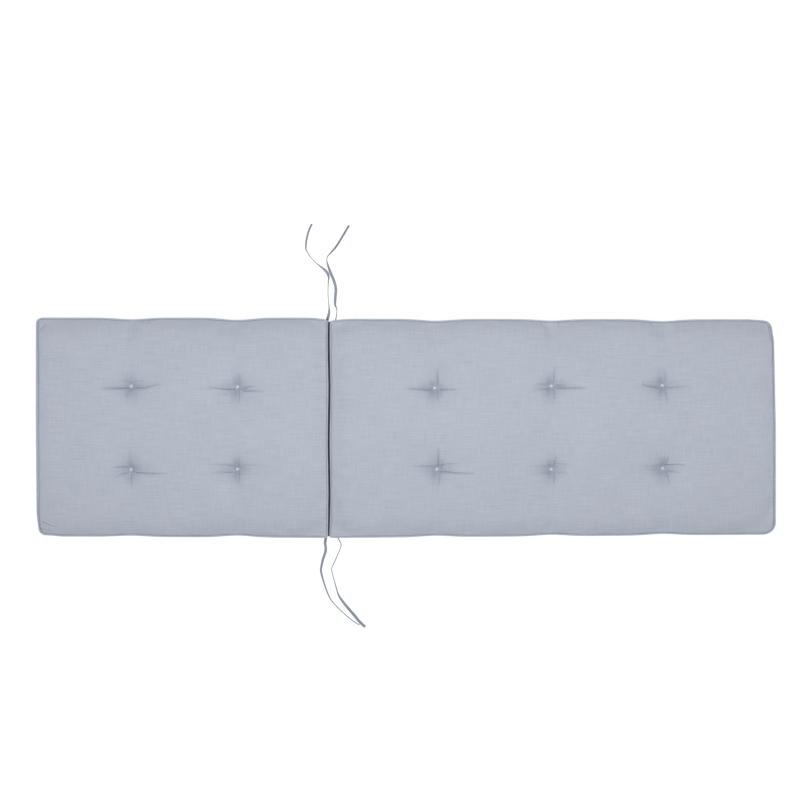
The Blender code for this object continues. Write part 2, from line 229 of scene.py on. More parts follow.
class Bench:
    """A new material and the one method that adds any node to it."""

    def __init__(self, name: str) -> None:
        """Make the material with its Principled shader."""
        self.material = bpy.data.materials.new(name)
        self.material.use_nodes = True
        self.tree = self.material.node_tree
        self.shader = self.tree.nodes["Principled BSDF"]

    def add(self, kind: str, settings: dict[str, Any], inputs: dict[int | str, Any]) -> Placed:
        """Add a node.

        Args:
            kind: The node's type.
            settings: Its own properties, which are set first.
            inputs: Values or wires for its sockets.

        Returns:
            The node, placed on the bench.
        """
        node = self.tree.nodes.new(kind)
        for name, value in settings.items():
            setattr(node, name, value)
        for key, value in inputs.items():
            self.feed(node.inputs[key], value)
        return Placed(self, node)

    def feed(self, socket: bpy.types.NodeSocket, value: Any) -> None:
        """Set a socket's value or link a wire to it."""
        if isinstance(value, Wire):
            self.tree.links.new(value.socket, socket)
        else:
            socket.default_value = value

    def blend(self, share: Any, first: Any, second: Any) -> Wire:
        """Mix two colours.

        Args:
            share: How much of the second colour shows, a wire or a number.
            first: The colour at 0.
            second: The colour at 1.

        Returns:
            The mixed colour as a wire.
        """
        return self.add("ShaderNodeMix", {"data_type": "RGBA"}, {0: share, 6: first, 7: second}).out(2)

    def shade(self, inputs: dict[str, Any]) -> bpy.types.Material:
        """Set or link sockets of the Principled shader, and give its material."""
        for key, value in inputs.items():
            self.feed(self.shader.inputs[key], value)
        return self.material

    def bump(self, strength: float, depth: float, height: Wire) -> Wire:
        """A normal that follows a height, of which a unit is as deep as given."""
        inputs = {"Strength": strength, "Distance": depth, "Height": height}
        return self.add("ShaderNodeBump", {}, inputs).out(0)

    def noise(self, place: Wire, stretch: tuple[float, float, float], detail: float = 2.0) -> Wire:
        """Noise about nought, with its own scale along each axis.

        Args:
            place: The vector that it reads, in metres.
            stretch: How many blobs there are to a metre along each axis.
            detail: The noise's detail.

        Returns:
            The noise as a wire.
        """
        scaled = self.add("ShaderNodeVectorMath", {"operation": "MULTIPLY"}, {0: place, 1: stretch}).out(0)
        inputs = {"Vector": scaled, "Scale": 1.0, "Detail": detail, "Roughness": 0.55}
        return self.add("ShaderNodeTexNoise", {}, inputs).out("Fac") - 0.5


def rgb(red: float, green: float, blue: float) -> Colour:
    """A colour in linear light from its screen values of 0 to 255."""
    def linear(level: float) -> float:
        """One channel in linear light."""
        share = level / 255.0
        return share / 12.92 if share <= 0.04045 else ((share + 0.055) / 1.055) ** 2.4
    return (linear(red), linear(green), linear(blue), 1.0)


@dataclass(frozen=True)
class ClothFinish:
    """A plain weave of two slightly different yarns with slubs, with painted shade blended in where the
    piece's attribute asks for it.
    """

    name: str
    warp: Colour
    weft: Colour
    shadow: Colour
    # The dark blue-grey of the painted shade round the tufts and along the creases
    painted_shade_colour: Colour = rgb(96, 108, 128)

    pitch = 0.0009
    long_slubs = (16.0, 420.0, 1.0)
    cross_slubs = (420.0, 22.0, 1.0)
    flecks = (260.0, 260.0, 1.0)
    clouds = (5.0, 7.0, 1.0)
    long_share = 1.5
    cross_share = 1.1
    fleck_share = 0.5
    slub_share = 0.75
    cloud_share = 0.30
    shadow_share = 0.30
    slub_relief = 0.8
    relief = 0.00012
    roughness = 0.86
    slub_roughness = 0.12
    cloud_roughness = 0.06
    sheen = 0.12

    def make(self) -> bpy.types.Material:
        """Build the material.

        Returns:
            The cloth material, which reads the piece's own map in metres.
        """
        bench = Bench(self.name)
        place = bench.add("ShaderNodeUVMap", {"uv_map": CLOTH_MAP}, {}).out(0)
        parts = bench.add("ShaderNodeSeparateXYZ", {}, {0: place})
        warp_wave, weft_wave = [(parts.out(axis) * (math.pi / self.pitch)).sine() for axis in (0, 1)]
        over = (warp_wave * weft_wave).above(0.0)
        weave = warp_wave.absolute() * over + weft_wave.absolute() * (1.0 - over)
        long_slub = bench.noise(place, self.long_slubs, 3.0)
        cross_slub = bench.noise(place, self.cross_slubs, 3.0)
        cloud = bench.noise(place, self.clouds, 4.0)
        fleck = bench.noise(place, self.flecks)
        streak = long_slub * self.long_share + cross_slub * self.cross_share + fleck * self.fleck_share
        depth = (streak * self.slub_share + cloud * self.cloud_share + self.shadow_share).clamped()
        threads = bench.blend(depth, bench.blend(over, self.warp, self.weft), self.shadow)
        # Painted shade: the attribute blends the threads towards the dark blue-grey round the tufts and along
        # the creases
        painted_shade = bench.add("ShaderNodeAttribute", {"attribute_name": PAINTED_SHADE}, {}).out("Fac")
        return bench.shade({
            "Base Color": bench.blend(painted_shade, threads, self.painted_shade_colour),
            "Roughness": self.roughness + long_slub * self.slub_roughness + cloud * self.cloud_roughness,
            "Normal": bench.bump(0.6, self.relief, weave + (long_slub + cross_slub) * self.slub_relief),
            "Sheen Weight": self.sheen,
            "Sheen Roughness": 0.5,
            "Specular IOR Level": 0.2,
        })


@dataclass(frozen=True)
class ButtonFinish:
    """A smooth pale cover with a soft shine."""

    name: str
    light: Colour
    dark: Colour

    grains = (1500.0, 1500.0, 1500.0)
    clouds = (160.0, 160.0, 160.0)
    relief = 0.00004
    roughness = 0.38

    def make(self) -> bpy.types.Material:
        """Build the material.

        Returns:
            The button material, which reads object coordinates.
        """
        bench = Bench(self.name)
        place = bench.add("ShaderNodeTexCoord", {}, {}).out("Object")
        grain = bench.noise(place, self.grains, 3.0)
        cloud = bench.noise(place, self.clouds)
        return bench.shade({
            "Base Color": bench.blend(((grain + cloud) * 0.5 + 0.5).clamped(), self.light, self.dark),
            "Roughness": self.roughness + grain * 0.2,
            "Normal": bench.bump(0.3, self.relief, grain),
        })


@dataclass(frozen=True)
class FloorFinish:
    """A plain pale floor with some light of its own."""

    name: str = "pale_floor"
    colour: Colour = (0.36, 0.36, 0.36, 1.0)
    light: Colour = (0.97, 0.97, 0.97, 1.0)

    glow = 0.80
    clouds = (0.6, 0.6, 0.6)
    roughness = 0.85

    def make(self) -> bpy.types.Material:
        """Build the floor's material."""
        bench = Bench(self.name)
        place = bench.add("ShaderNodeTexCoord", {}, {}).out("Object")
        return bench.shade({
            "Base Color": self.colour,
            "Roughness": self.roughness + bench.noise(place, self.clouds) * 0.1,
            "Emission Color": self.light,
            "Emission Strength": self.glow,
        })


COVER_CLOTH = ClothFinish("cover_cloth", rgb(182, 187, 195), rgb(175, 180, 190), rgb(155, 159, 169))
# The piping is the cover's own cloth, painted a little lighter: painted light that offsets the shade on its
# round edge
PIPING_CLOTH_PAINTED_LIGHTER = ClothFinish("piping_cloth", rgb(184, 190, 200), rgb(177, 184, 195), rgb(156, 162, 173))
HINGE_CLOTH = ClothFinish("hinge_cloth", rgb(174, 180, 190), rgb(167, 174, 185), rgb(146, 152, 163))
TIE_CLOTH = ClothFinish("tie_tape", rgb(152, 158, 169), rgb(144, 151, 163), rgb(126, 133, 146))
BUTTON_COVER = ButtonFinish("button_cover", rgb(196, 203, 215), rgb(180, 188, 202))


@dataclass(frozen=True)
class Crease:
    """A soft trough along a line of spots, which are in millimetres from a tuft or a corner."""

    depth: float
    width: float
    lip: Lip
    spots: tuple[tuple[float, float], ...]

    samples = 4
    deepening = 1.6
    narrowing = 0.72
    # How much painted shade a crease lays along its trough for each millimetre of its depth
    painted_shade_per_depth = 0.14
    near_width = 0.85
    widening = 0.4
    reach_widths = 6.0
    lip_height = 0.28
    lip_difference = 0.26
    lip_offset = 2.1
    lip_width = 1.2

    def measured(self, points: np.ndarray, x: float, y: float, reach: float) -> tuple[np.ndarray, ...]:
        """How the points lie along the crease.

        Args:
            points: The points, one row each.
            x: Where the crease's own zero is.
            y: Where the crease's own zero is.
            reach: How far from the crease points still count.

        Returns:
            The numbers of the near points, and for each its distance, its side and its share of the run.
        """
        line = smooth_line(np.array(self.spots, float) / MM_PER_METRE, self.samples) + (x, y)
        low = line.min(axis=0) - reach
        high = line.max(axis=0) + reach
        near = np.flatnonzero(((points[:, :2] > low) & (points[:, :2] < high)).all(axis=1))
        spots = points[near, :2]
        steps = np.diff(line, axis=0)
        lengths = np.hypot(steps[:, 0], steps[:, 1])
        best = np.full(len(near), 1.0)
        side = np.zeros(len(near))
        run = np.zeros(len(near))
        passed = 0.0
        for start, step, length in zip(line, steps, lengths):
            offset = spots - start
            share = np.clip(offset @ step / length ** 2, 0.0, 1.0)
            gap = offset - share[:, None] * step
            distance = np.hypot(gap[:, 0], gap[:, 1])
            closer = distance < best
            best = np.where(closer, distance, best)
            side = np.where(closer, np.sign(step[0] * offset[:, 1] - step[1] * offset[:, 0]), side)
            run = np.where(closer, (passed + share * length) / lengths.sum(), run)
            passed += length
        return near, best, side, run

    def press(self, points: np.ndarray, lift: np.ndarray, painted_shade: np.ndarray, x: float, y: float) -> None:
        """Add the trough and its two lips, deeper and narrower than its soft mark, and paint shade along the
        trough.

        Args:
            points: The points, one row each.
            lift: How far each point is lifted, which changes.
            painted_shade: How much painted shade darkens the cloth at each point, which changes.
            x: Where the crease's own zero is.
            y: Where the crease's own zero is.
        """
        width = self.width / MM_PER_METRE * self.narrowing
        near, distance, side, run = self.measured(points, x, y, self.reach_widths * width)
        wide = width * (self.near_width + self.widening * run)
        trough = np.exp(-(distance / wide) ** 2)
        lips = np.exp(-((distance - self.lip_offset * wide) / (self.lip_width * wide)) ** 2)
        lips = (self.lip_height + self.lip_difference * self.lip.value * side) * lips
        lift[near] += self.depth / MM_PER_METRE * self.deepening * (1.0 - run ** 4) * (lips - trough)
        painted_shade[near] += self.painted_shade_per_depth * self.depth * (1.0 - run ** 2) * trough


@dataclass(frozen=True)
class Tuck:
    """A corner where the top panel is drawn in, so that the wall shows past it."""

    x: float
    y: float
    depth: float


@dataclass(frozen=True)
class Mark:
    """A place with creases near it: a tuft, a corner or a spot on a long edge."""

    x: float
    y: float
    creases: tuple[Crease, ...]


@dataclass(frozen=True)
class Column:
    """Two tufts across the pad, and how far the long edges are drawn in beside them."""

    x: float
    rear: Mark
    front: Mark
    rear_pull: float
    front_pull: float


@dataclass(frozen=True)
class SectionPlan:
    """The uneven outline and the heights of one section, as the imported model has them."""

    name: str
    start: float
    end: float
    start_lift: float
    end_lift: float
    start_steep: float
    end_steep: float
    start_groove: float
    end_groove: float
    start_radii: tuple[float, float]
    end_radii: tuple[float, float]
    rear_start: float
    rear_end: float
    front_start: float
    front_end: float
    start_lean: float
    end_lean: float
    columns: tuple[Column, ...]
    tucks: tuple[Tuck, ...]
    edge_marks: tuple[Mark, ...]

    pull_reach = 0.050
    fold_pull = 0.0045
    fold_pull_reach = 0.030
    fold_wander = 0.0010
    fold_wave_length = 0.264
    fold_wave_start = 0.229
    fold_wave_reach = 0.060
    fold_close = 0.0009
    fold_close_start = 0.200
    tuck_reach = 0.070
    edge_fall = 3
    lean_fall = 4
    nudge_radius = 0.080
    seam_drop_per_pull = 0.6
    seam_lift_fall = 5
    side_run = 0.052
    side_steep = 0.12
    end_run = 0.034
    steep_run = 0.0030
    under_run = 0.020
    tuft_wide_radius = 0.095
    tuft_wide_depth = 0.006
    tuft_deep_depth = 0.018
    tuft_stretch = 1.15
    under_tuft_radius = 0.032
    under_tuft_depth = 0.005

    @property
    def low(self) -> float:
        """The seam's lowest X."""
        return self.start + SEAM_INSET

    @property
    def high(self) -> float:
        """The seam's highest X."""
        return self.end - SEAM_INSET

    @property
    def half(self) -> float:
        """The seam's half width in the plain rectangle."""
        return HALF_WIDTH - SEAM_INSET

    def tufts(self) -> list[Mark]:
        """The section's tufts, column by column."""
        return [tuft for column in self.columns for tuft in (column.rear, column.front)]

    def edge_pull(self, x: np.ndarray, y: np.ndarray) -> np.ndarray:
        """How far the long edge on the side of y is drawn in at x."""
        rear = y > 0
        pull = np.where(rear, self.fold_pull * np.exp(-((x - FOLD_X) / self.fold_pull_reach) ** 2), 0.0)
        for column in self.columns:
            depth = np.where(rear, column.rear_pull, column.front_pull)
            pull = pull + depth * np.exp(-((x - column.x) / self.pull_reach) ** 2)
        return pull

    def fold_shift(self, x: np.ndarray, y: np.ndarray) -> np.ndarray:
        """How far a point near the fold follows its slight wander, and its closing at the front."""
        wave = -self.fold_wander * np.cos(2.0 * math.pi * (y - self.fold_wave_start) / self.fold_wave_length)
        towards = np.clip((FOLD_X - x) / FOLD_GAP, -1.0, 1.0)
        close = self.fold_close * rise(-y - self.fold_close_start, HALF_WIDTH - self.fold_close_start)
        return (wave + towards * close) * np.exp(-np.abs(x - FOLD_X) / self.fold_wave_reach)

    def warp(self, x: np.ndarray, y: np.ndarray) -> Pair:
        """Carry points of the plain rectangle to their places in the uneven outline.

        Args:
            x: Places along the section.
            y: Places across it.

        Returns:
            The new x and y.
        """
        rear = y > 0
        side = np.where(rear, Edge.REAR.value, Edge.FRONT.value)
        along = (x - self.start) / (self.end - self.start)
        first = np.where(rear, self.rear_start, self.front_start)
        last = np.where(rear, self.rear_end, self.front_end)
        edge = first + (last - first) * along - self.edge_pull(x, y)
        new_y = y + side * (edge - HALF_WIDTH) * (np.abs(y) / HALF_WIDTH) ** self.edge_fall
        lean = self.end_lean * np.maximum(y, 0.0) * np.maximum(along, 0.0) ** self.lean_fall
        lean = lean - self.start_lean * np.maximum(-y, 0.0) * (1.0 - along) ** self.lean_fall
        new_x = x - lean / HALF_WIDTH + self.fold_shift(x, y)
        for column in self.columns:
            near = fade(np.hypot(x - column.x, np.abs(y) - TUFT_ROW_Y), self.nudge_radius)
            new_x = new_x + np.where(rear, column.rear.x - column.x, column.front.x - column.x) * near
            shift = np.where(rear, column.rear.y - TUFT_ROW_Y, column.front.y + TUFT_ROW_Y)
            new_y = new_y + shift * near
        return new_x, new_y

    def near(self, x: np.ndarray, first: float, last: float) -> np.ndarray:
        """The first value where x is in the section's first half, and the last one elsewhere."""
        return np.where(x < (self.low + self.high) / 2, first, last)

    def seam_radius(self, x: np.ndarray, y: np.ndarray) -> np.ndarray:
        """The radius of the seam's corner nearest to each point."""
        rear = self.near(x, self.start_radii[0], self.end_radii[0])
        front = self.near(x, self.start_radii[1], self.end_radii[1])
        return np.where(y > 0, rear, front)

    def round_corners(self, x: np.ndarray, y: np.ndarray) -> Pair:
        """Turn the square corners of the seam's rectangle into arcs.

        Args:
            x: Places along the section.
            y: Places across it.

        Returns:
            The new x and y.
        """
        radius = self.seam_radius(x, y)
        side_x = self.near(x, -1.0, 1.0)
        side_y = np.where(y > 0, 1.0, -1.0)
        centre_x = np.where(side_x < 0, self.low + radius, self.high - radius)
        centre_y = side_y * (self.half - radius)
        a = (x - centre_x) * side_x / radius
        b = (y - centre_y) * side_y / radius
        inside = (a <= 0.0) | (b <= 0.0)
        a = np.clip(a, 0.0, 1.0)
        b = np.clip(b, 0.0, 1.0)
        round_x = centre_x + side_x * radius * a * np.sqrt(1.0 - b * b / 2.0)
        round_y = centre_y + side_y * radius * b * np.sqrt(1.0 - a * a / 2.0)
        return np.where(inside, x, round_x), np.where(inside, y, round_y)

    def outward(self, x: np.ndarray, y: np.ndarray) -> Pair:
        """The level direction straight out of the rim at points of the rounded rectangle."""
        radius = self.seam_radius(x, y)
        away_x = x - np.clip(x, self.low + radius, self.high - radius)
        away_y = y - np.clip(y, radius - self.half, self.half - radius)
        length = np.maximum(np.hypot(away_x, away_y), TOUCH)
        return away_x / length, away_y / length

    def corner_tuck(self, x: np.ndarray, y: np.ndarray) -> np.ndarray:
        """How far the top panel is drawn in at points near a tucked corner."""
        gap = np.minimum(self.half - np.abs(y), np.minimum(x - self.low, self.high - x))
        near_rim = 1.0 - np.clip(gap / self.seam_radius(x, y), 0.0, 1.0)
        tucked = np.zeros_like(x)
        for tuck in self.tucks:
            tucked = tucked + tuck.depth * fade(np.hypot(x - tuck.x, y - tuck.y), self.tuck_reach)
        return tucked * near_rim

    def wall_bulge(self, x: np.ndarray, y: np.ndarray) -> np.ndarray:
        """How far the wall bulges out at points of the rim, most beside the fold."""
        away_x, _ = self.outward(*self.round_corners(x, y))
        beside_fold = np.where(np.abs(x - FOLD_X) < self.pull_reach, away_x ** 2, 0.0)
        return WALL_BULGE + (FOLD_BULGE - WALL_BULGE) * beside_fold

    def rim(self, x: np.ndarray, y: np.ndarray, out: Any, share: Any = 1.0) -> Pair:
        """Points of the uneven outline, pushed out of the seam by a distance.

        Args:
            x: Places along the section.
            y: Places across it.
            out: How far they are pushed out.
            share: Their heights on the wall, from 0 to 1.

        Returns:
            The new x and y.
        """
        round_x, round_y = self.round_corners(x, y)
        away_x, away_y = self.outward(round_x, round_y)
        out = out - self.corner_tuck(x, y) * share ** 2
        return self.warp(round_x + away_x * out, round_y + away_y * out)

    def seam_height(self, x: np.ndarray, y: np.ndarray) -> np.ndarray:
        """The top seam's height: lifted in the middle of each end, lower where the edge is drawn in."""
        along = (x - self.start) / (self.end - self.start)
        share = np.minimum(np.abs(y) / HALF_WIDTH, 1.0)
        lift = self.start_lift + (self.end_lift - self.start_lift) * along
        drop = self.seam_drop_per_pull * self.edge_pull(x, y) * share ** self.edge_fall
        return TOP_SEAM_HEIGHT + lift * (1.0 - share ** self.seam_lift_fall) - drop

    def shoulder(self, distance: np.ndarray, run: float, steep: Any) -> np.ndarray:
        """A round shoulder of which a share rises steeply at the very edge."""
        return steep * rise(distance, self.steep_run) + (1.0 - steep) * rise(distance, run)

    def tuft_distances(self, x: np.ndarray, y: np.ndarray) -> list[np.ndarray]:
        """The distance from each point to each tuft, measured shorter along the pad."""
        return [np.hypot((x - tuft.x) / self.tuft_stretch, y - tuft.y) for tuft in self.tufts()]

    def near_tufts(self, x: np.ndarray, y: np.ndarray, reach: float) -> np.ndarray:
        """How near each point is to a tuft: 1 on one, 0 from reach on."""
        return np.max([fade(distance, reach) for distance in self.tuft_distances(x, y)], axis=0)

    def top(self, x: np.ndarray, y: np.ndarray, side_gap: np.ndarray, end_gap: np.ndarray) -> np.ndarray:
        """The height of the upper face: seam, crown and the wide dip round each tuft.

        Args:
            x: Places along the pad.
            y: Places across it.
            side_gap: Distances to the nearer long edge.
            end_gap: Distances to the nearer end.

        Returns:
            The heights.
        """
        seam = self.seam_height(x, y)
        crown = self.shoulder(side_gap, self.side_run, self.side_steep)
        crown = crown * self.shoulder(end_gap, self.end_run, self.near(x, self.start_steep, self.end_steep))
        height = seam + (CROWN_HEIGHT - seam) * crown
        for distance in self.tuft_distances(x, y):
            height = height - self.tuft_wide_depth * fade(distance, self.tuft_wide_radius)
        return height

    def under(self, x: np.ndarray, y: np.ndarray, side_gap: np.ndarray, end_gap: np.ndarray) -> np.ndarray:
        """The height of the underside: flat, round at the rim, dimpled at the tufts."""
        rim = BOTTOM_SEAM_HEIGHT * (1.0 - rise(np.minimum(side_gap, end_gap), self.under_run))
        for distance in self.tuft_distances(x, y):
            rim = rim + self.under_tuft_depth * fade(distance, self.under_tuft_radius)
        return rim


def creases(*rows: Sequence[Any]) -> tuple[Crease, ...]:
    """Creases from rows of depth and width in millimetres, the lip unless it is even, and the spots."""
    made = []
    for depth, width, *spots in rows:
        lip = spots.pop(0) if isinstance(spots[0], Lip) else Lip.EVEN
        made.append(Crease(depth, width, lip, tuple(spots)))
    return tuple(made)


BACK = SectionPlan(
    name="back", start=HEAD_X, end=FOLD_X - FOLD_GAP / 2, start_lift=0.006, end_lift=0.003,
    start_steep=0.60, end_steep=0.12, start_groove=0.0055, end_groove=0.0,
    start_radii=(0.012, 0.020), end_radii=(0.003, 0.001),
    rear_start=0.2848, rear_end=0.2845, front_start=0.2822, front_end=0.2865, start_lean=0.0024, end_lean=0.0,
    columns=(
        Column(-0.7116,
               Mark(-0.7116, 0.1076, creases(
                   (2.2, 2.4, (-7, -4), (-26, -6), (-50, -6), (-81, -6)),
                   (1.8, 2.4, Lip.LEFT, (10, -5), (35, -5), (52, 0), (70, 5), (81, 8)),
                   (0.9, 2.6, (8, 12), (20, 13), (37, 13)),
                   (0.9, 5.0, (-4, 9), (-16, 13), (-30, 12)),
                   (1.1, 7.0, (-4, -9), (-9, -20), (-15, -36)),
                   (0.6, 2.0, (1, 8), (1, 33)),
                   (0.4, 3.0, (61, -10), (75, -27)))),
               Mark(-0.7116, -0.1089, creases(
                   (1.3, 2.4, (-9, 6), (-28, 6), (-51, 4)),
                   (1.8, 2.4, Lip.LEFT, (12, -8), (35, -10), (55, -11), (99, -12)),
                   (1.2, 4.0, (-7, -8), (-28, -12), (-51, -22)),
                   (1.2, 2.0, (1, -12), (1, -50)),
                   (0.6, 2.0, (-1, 12), (-1, 54)),
                   (0.9, 6.0, (-2, 9), (-8, 27)))),
               0.0044, 0.0032),
        Column(-0.4360,
               Mark(-0.4360, 0.1055, creases(
                   (1.9, 2.4, (-8, -6), (-24, -6), (-55, -3), (-81, -3)),
                   (1.9, 2.4, Lip.LEFT, (14, -10), (30, -11), (48, -11), (74, -13)),
                   (1.1, 2.4, (12, -7), (31, 1), (50, 5)),
                   (0.5, 3.0, (-30, -19), (-73, -19)),
                   (1.0, 2.0, Lip.LEFT, (5, 9), (5, 40)),
                   (1.0, 2.0, (5, -12), (5, -42)),
                   (0.9, 7.0, (-3, 9), (-5, 30)),
                   (1.0, 8.0, (-4, -10), (-9, -36)))),
               Mark(-0.4360, -0.1084, creases(
                   (1.4, 2.6, (-12, 9), (-30, 11), (-55, 11), (-77, 11)),
                   (2.0, 2.6, Lip.LEFT, (-13, -7), (-30, -7), (-44, -8), (-69, -9)),
                   (1.0, 2.6, (14, 9), (48, 9), (75, 9)),
                   (1.0, 2.0, Lip.LEFT, (4, 8), (4, 35)),
                   (1.0, 2.0, (4, -9), (4, -40)),
                   (0.9, 7.0, (-2, 9), (-7, 30)),
                   (1.0, 8.0, (0, -9), (-4, -33)))),
               0.0059, 0.0049),
    ),
    tucks=(Tuck(HEAD_X, -HALF_WIDTH, 0.0050),),
    edge_marks=(
        Mark(-0.958, -0.279, creases(
            (1.2, 2.4, (17, 34), (36, 25), (50, 20)),
            (0.8, 2.4, (9, 18), (22, 13), (40, 11)))),
        Mark(-0.958, 0.281, creases((1.1, 2.6, (9, -31), (17, -20), (26, -11)))),
        Mark(-0.711, 0.282, creases(
            (0.7, 2.4, (-4, -6), (-2, -18)),
            (0.6, 2.2, (8, -6), (7, -15)),
            (0.7, 2.4, (28, -6), (33, -17)),
            (0.6, 2.4, (45, -6), (49, -16)))),
    ),
)
SEAT = SectionPlan(
    name="seat", start=FOLD_X + FOLD_GAP / 2, end=FOOT_X, start_lift=0.0, end_lift=0.006,
    start_steep=0.10, end_steep=0.60, start_groove=0.0, end_groove=0.0014,
    start_radii=(0.003, 0.001), end_radii=(0.024, 0.029),
    rear_start=0.2815, rear_end=0.2801, front_start=0.2865, front_end=0.2774, start_lean=0.0, end_lean=0.0055,
    columns=(
        Column(0.0790,
               Mark(0.0761, 0.1024, creases(
                   (2.1, 2.4, Lip.RIGHT, (-10, -5), (-35, -4), (-60, -3), (-82, -3)),
                   (1.8, 2.4, Lip.LEFT, (14, -4), (35, -4), (58, -4)),
                   (1.5, 2.0, Lip.LEFT, (7, 7), (7, 54)),
                   (1.2, 2.4, (5, -9), (7, -22), (10, -34)),
                   (0.9, 8.0, (-6, -10), (-13, -30)),
                   (0.9, 6.0, (12, -8), (16, -24)),
                   (0.7, 6.0, (-5, 8), (-14, 22)))),
               Mark(0.0818, -0.1084, creases(
                   (1.4, 2.6, (-10, 7), (-30, 7), (-74, 7)),
                   (1.3, 2.6, (12, 10), (26, 13), (64, 13)),
                   (1.9, 2.4, Lip.LEFT, (8, -6), (30, -8), (50, -10), (102, -13)),
                   (0.5, 2.8, (19, -21), (62, -21)),
                   (1.7, 2.0, Lip.LEFT, (4, 7), (4, 56)),
                   (1.2, 2.0, (6, -8), (6, -43)),
                   (1.2, 7.0, (9, 7), (14, 27)),
                   (0.8, 7.0, (-5, -9), (-8, -28)))),
               0.0047, 0.0037),
        Column(0.3782,
               Mark(0.3782, 0.1076, creases(
                   (2.1, 2.4, Lip.LEFT, (15, -5), (35, -6), (64, -6), (101, -7)),
                   (1.1, 2.2, Lip.LEFT, (13, 1), (26, 2), (43, 2)),
                   (1.2, 2.6, (-9, -6), (-24, -7), (-45, -7)),
                   (0.9, 2.4, (-11, 4), (-47, 4)),
                   (0.5, 2.6, (15, 12), (41, 12)),
                   (1.4, 2.0, Lip.LEFT, (7, 9), (8, 55)),
                   (1.3, 2.2, (7, -8), (8, -36)),
                   (0.8, 7.0, (-4, 9), (-10, 24)),
                   (0.9, 8.0, (-5, -9), (-12, -28)))),
               Mark(0.3782, -0.1084, creases(
                   (1.6, 2.2, Lip.LEFT, (6, 7), (9, 18), (13, 36)),
                   (1.3, 2.0, (7, -8), (7, -42)),
                   (1.2, 2.6, (-4, -8), (-20, -11), (-31, -15)),
                   (1.3, 2.6, Lip.LEFT, (14, -8), (44, -8)),
                   (1.0, 2.6, (10, 14), (28, 13), (45, 11)),
                   (0.7, 2.6, (-9, 7), (-60, 8)),
                   (0.9, 7.0, (-3, 9), (-8, 28)),
                   (0.9, 7.0, (-2, -9), (-4, -28)))),
               0.0040, 0.0038),
        Column(0.6672,
               Mark(0.6665, 0.1094, creases(
                   (1.8, 2.4, Lip.RIGHT, (-10, -6), (-20, -5), (-37, -2), (-58, 2)),
                   (1.6, 2.6, (11, -5), (40, -4), (64, -4), (87, -9)),
                   (1.1, 2.0, Lip.LEFT, (7, 8), (8, 40)),
                   (1.3, 2.4, (6, -8), (9, -24), (15, -47)),
                   (0.9, 7.0, (-4, 9), (-8, 24)),
                   (0.9, 8.0, (-2, -9), (-6, -30)))),
               Mark(0.6678, -0.1058, creases(
                   (1.5, 2.4, Lip.LEFT, (8, 8), (25, 9), (43, 9), (64, 6)),
                   (1.4, 2.4, (9, -5), (25, -8), (45, -11)),
                   (1.5, 2.2, Lip.LEFT, (6, 7), (10, 17), (15, 32)),
                   (1.3, 2.2, (7, -8), (12, -20), (16, -44)),
                   (0.8, 2.2, (-10, 5), (-60, 5)),
                   (0.7, 2.2, (-10, -4), (-60, -4)),
                   (0.7, 2.8, (-7, -8), (-26, -13)),
                   (1.0, 7.0, (0, 9), (4, 30)),
                   (0.9, 7.0, (4, -9), (8, -30)))),
               0.0053, 0.0038),
    ),
    tucks=(Tuck(FOOT_X, HALF_WIDTH, 0.0060),),
    edge_marks=(
        Mark(0.951, 0.277, creases((1.2, 2.4, (-12, -6), (-8, -23), (-5, -40), (-3, -61)))),
        Mark(-0.160, 0.281, creases(
            (0.6, 2.4, (-2, -6), (0, -17)),
            (0.5, 2.4, (10, -6), (13, -15)))),
        Mark(0.378, 0.278, creases(
            (0.8, 2.4, (17, -6), (18, -18)),
            (0.5, 3.0, (-26, -6), (-16, -18)))),
        Mark(0.667, 0.276, creases((0.6, 3.0, (-34, -5), (-20, -17)))),
    ),
)


@dataclass(frozen=True)
class Wave:
    """A wave along one way that sways with another."""

    rate: float
    sway: float
    sway_rate: float

    def at(self, along: np.ndarray, across: np.ndarray) -> np.ndarray:
        """Its height at each place, from -1 to 1."""
        return np.sin(along * self.rate + self.sway * np.sin(across * self.sway_rate))


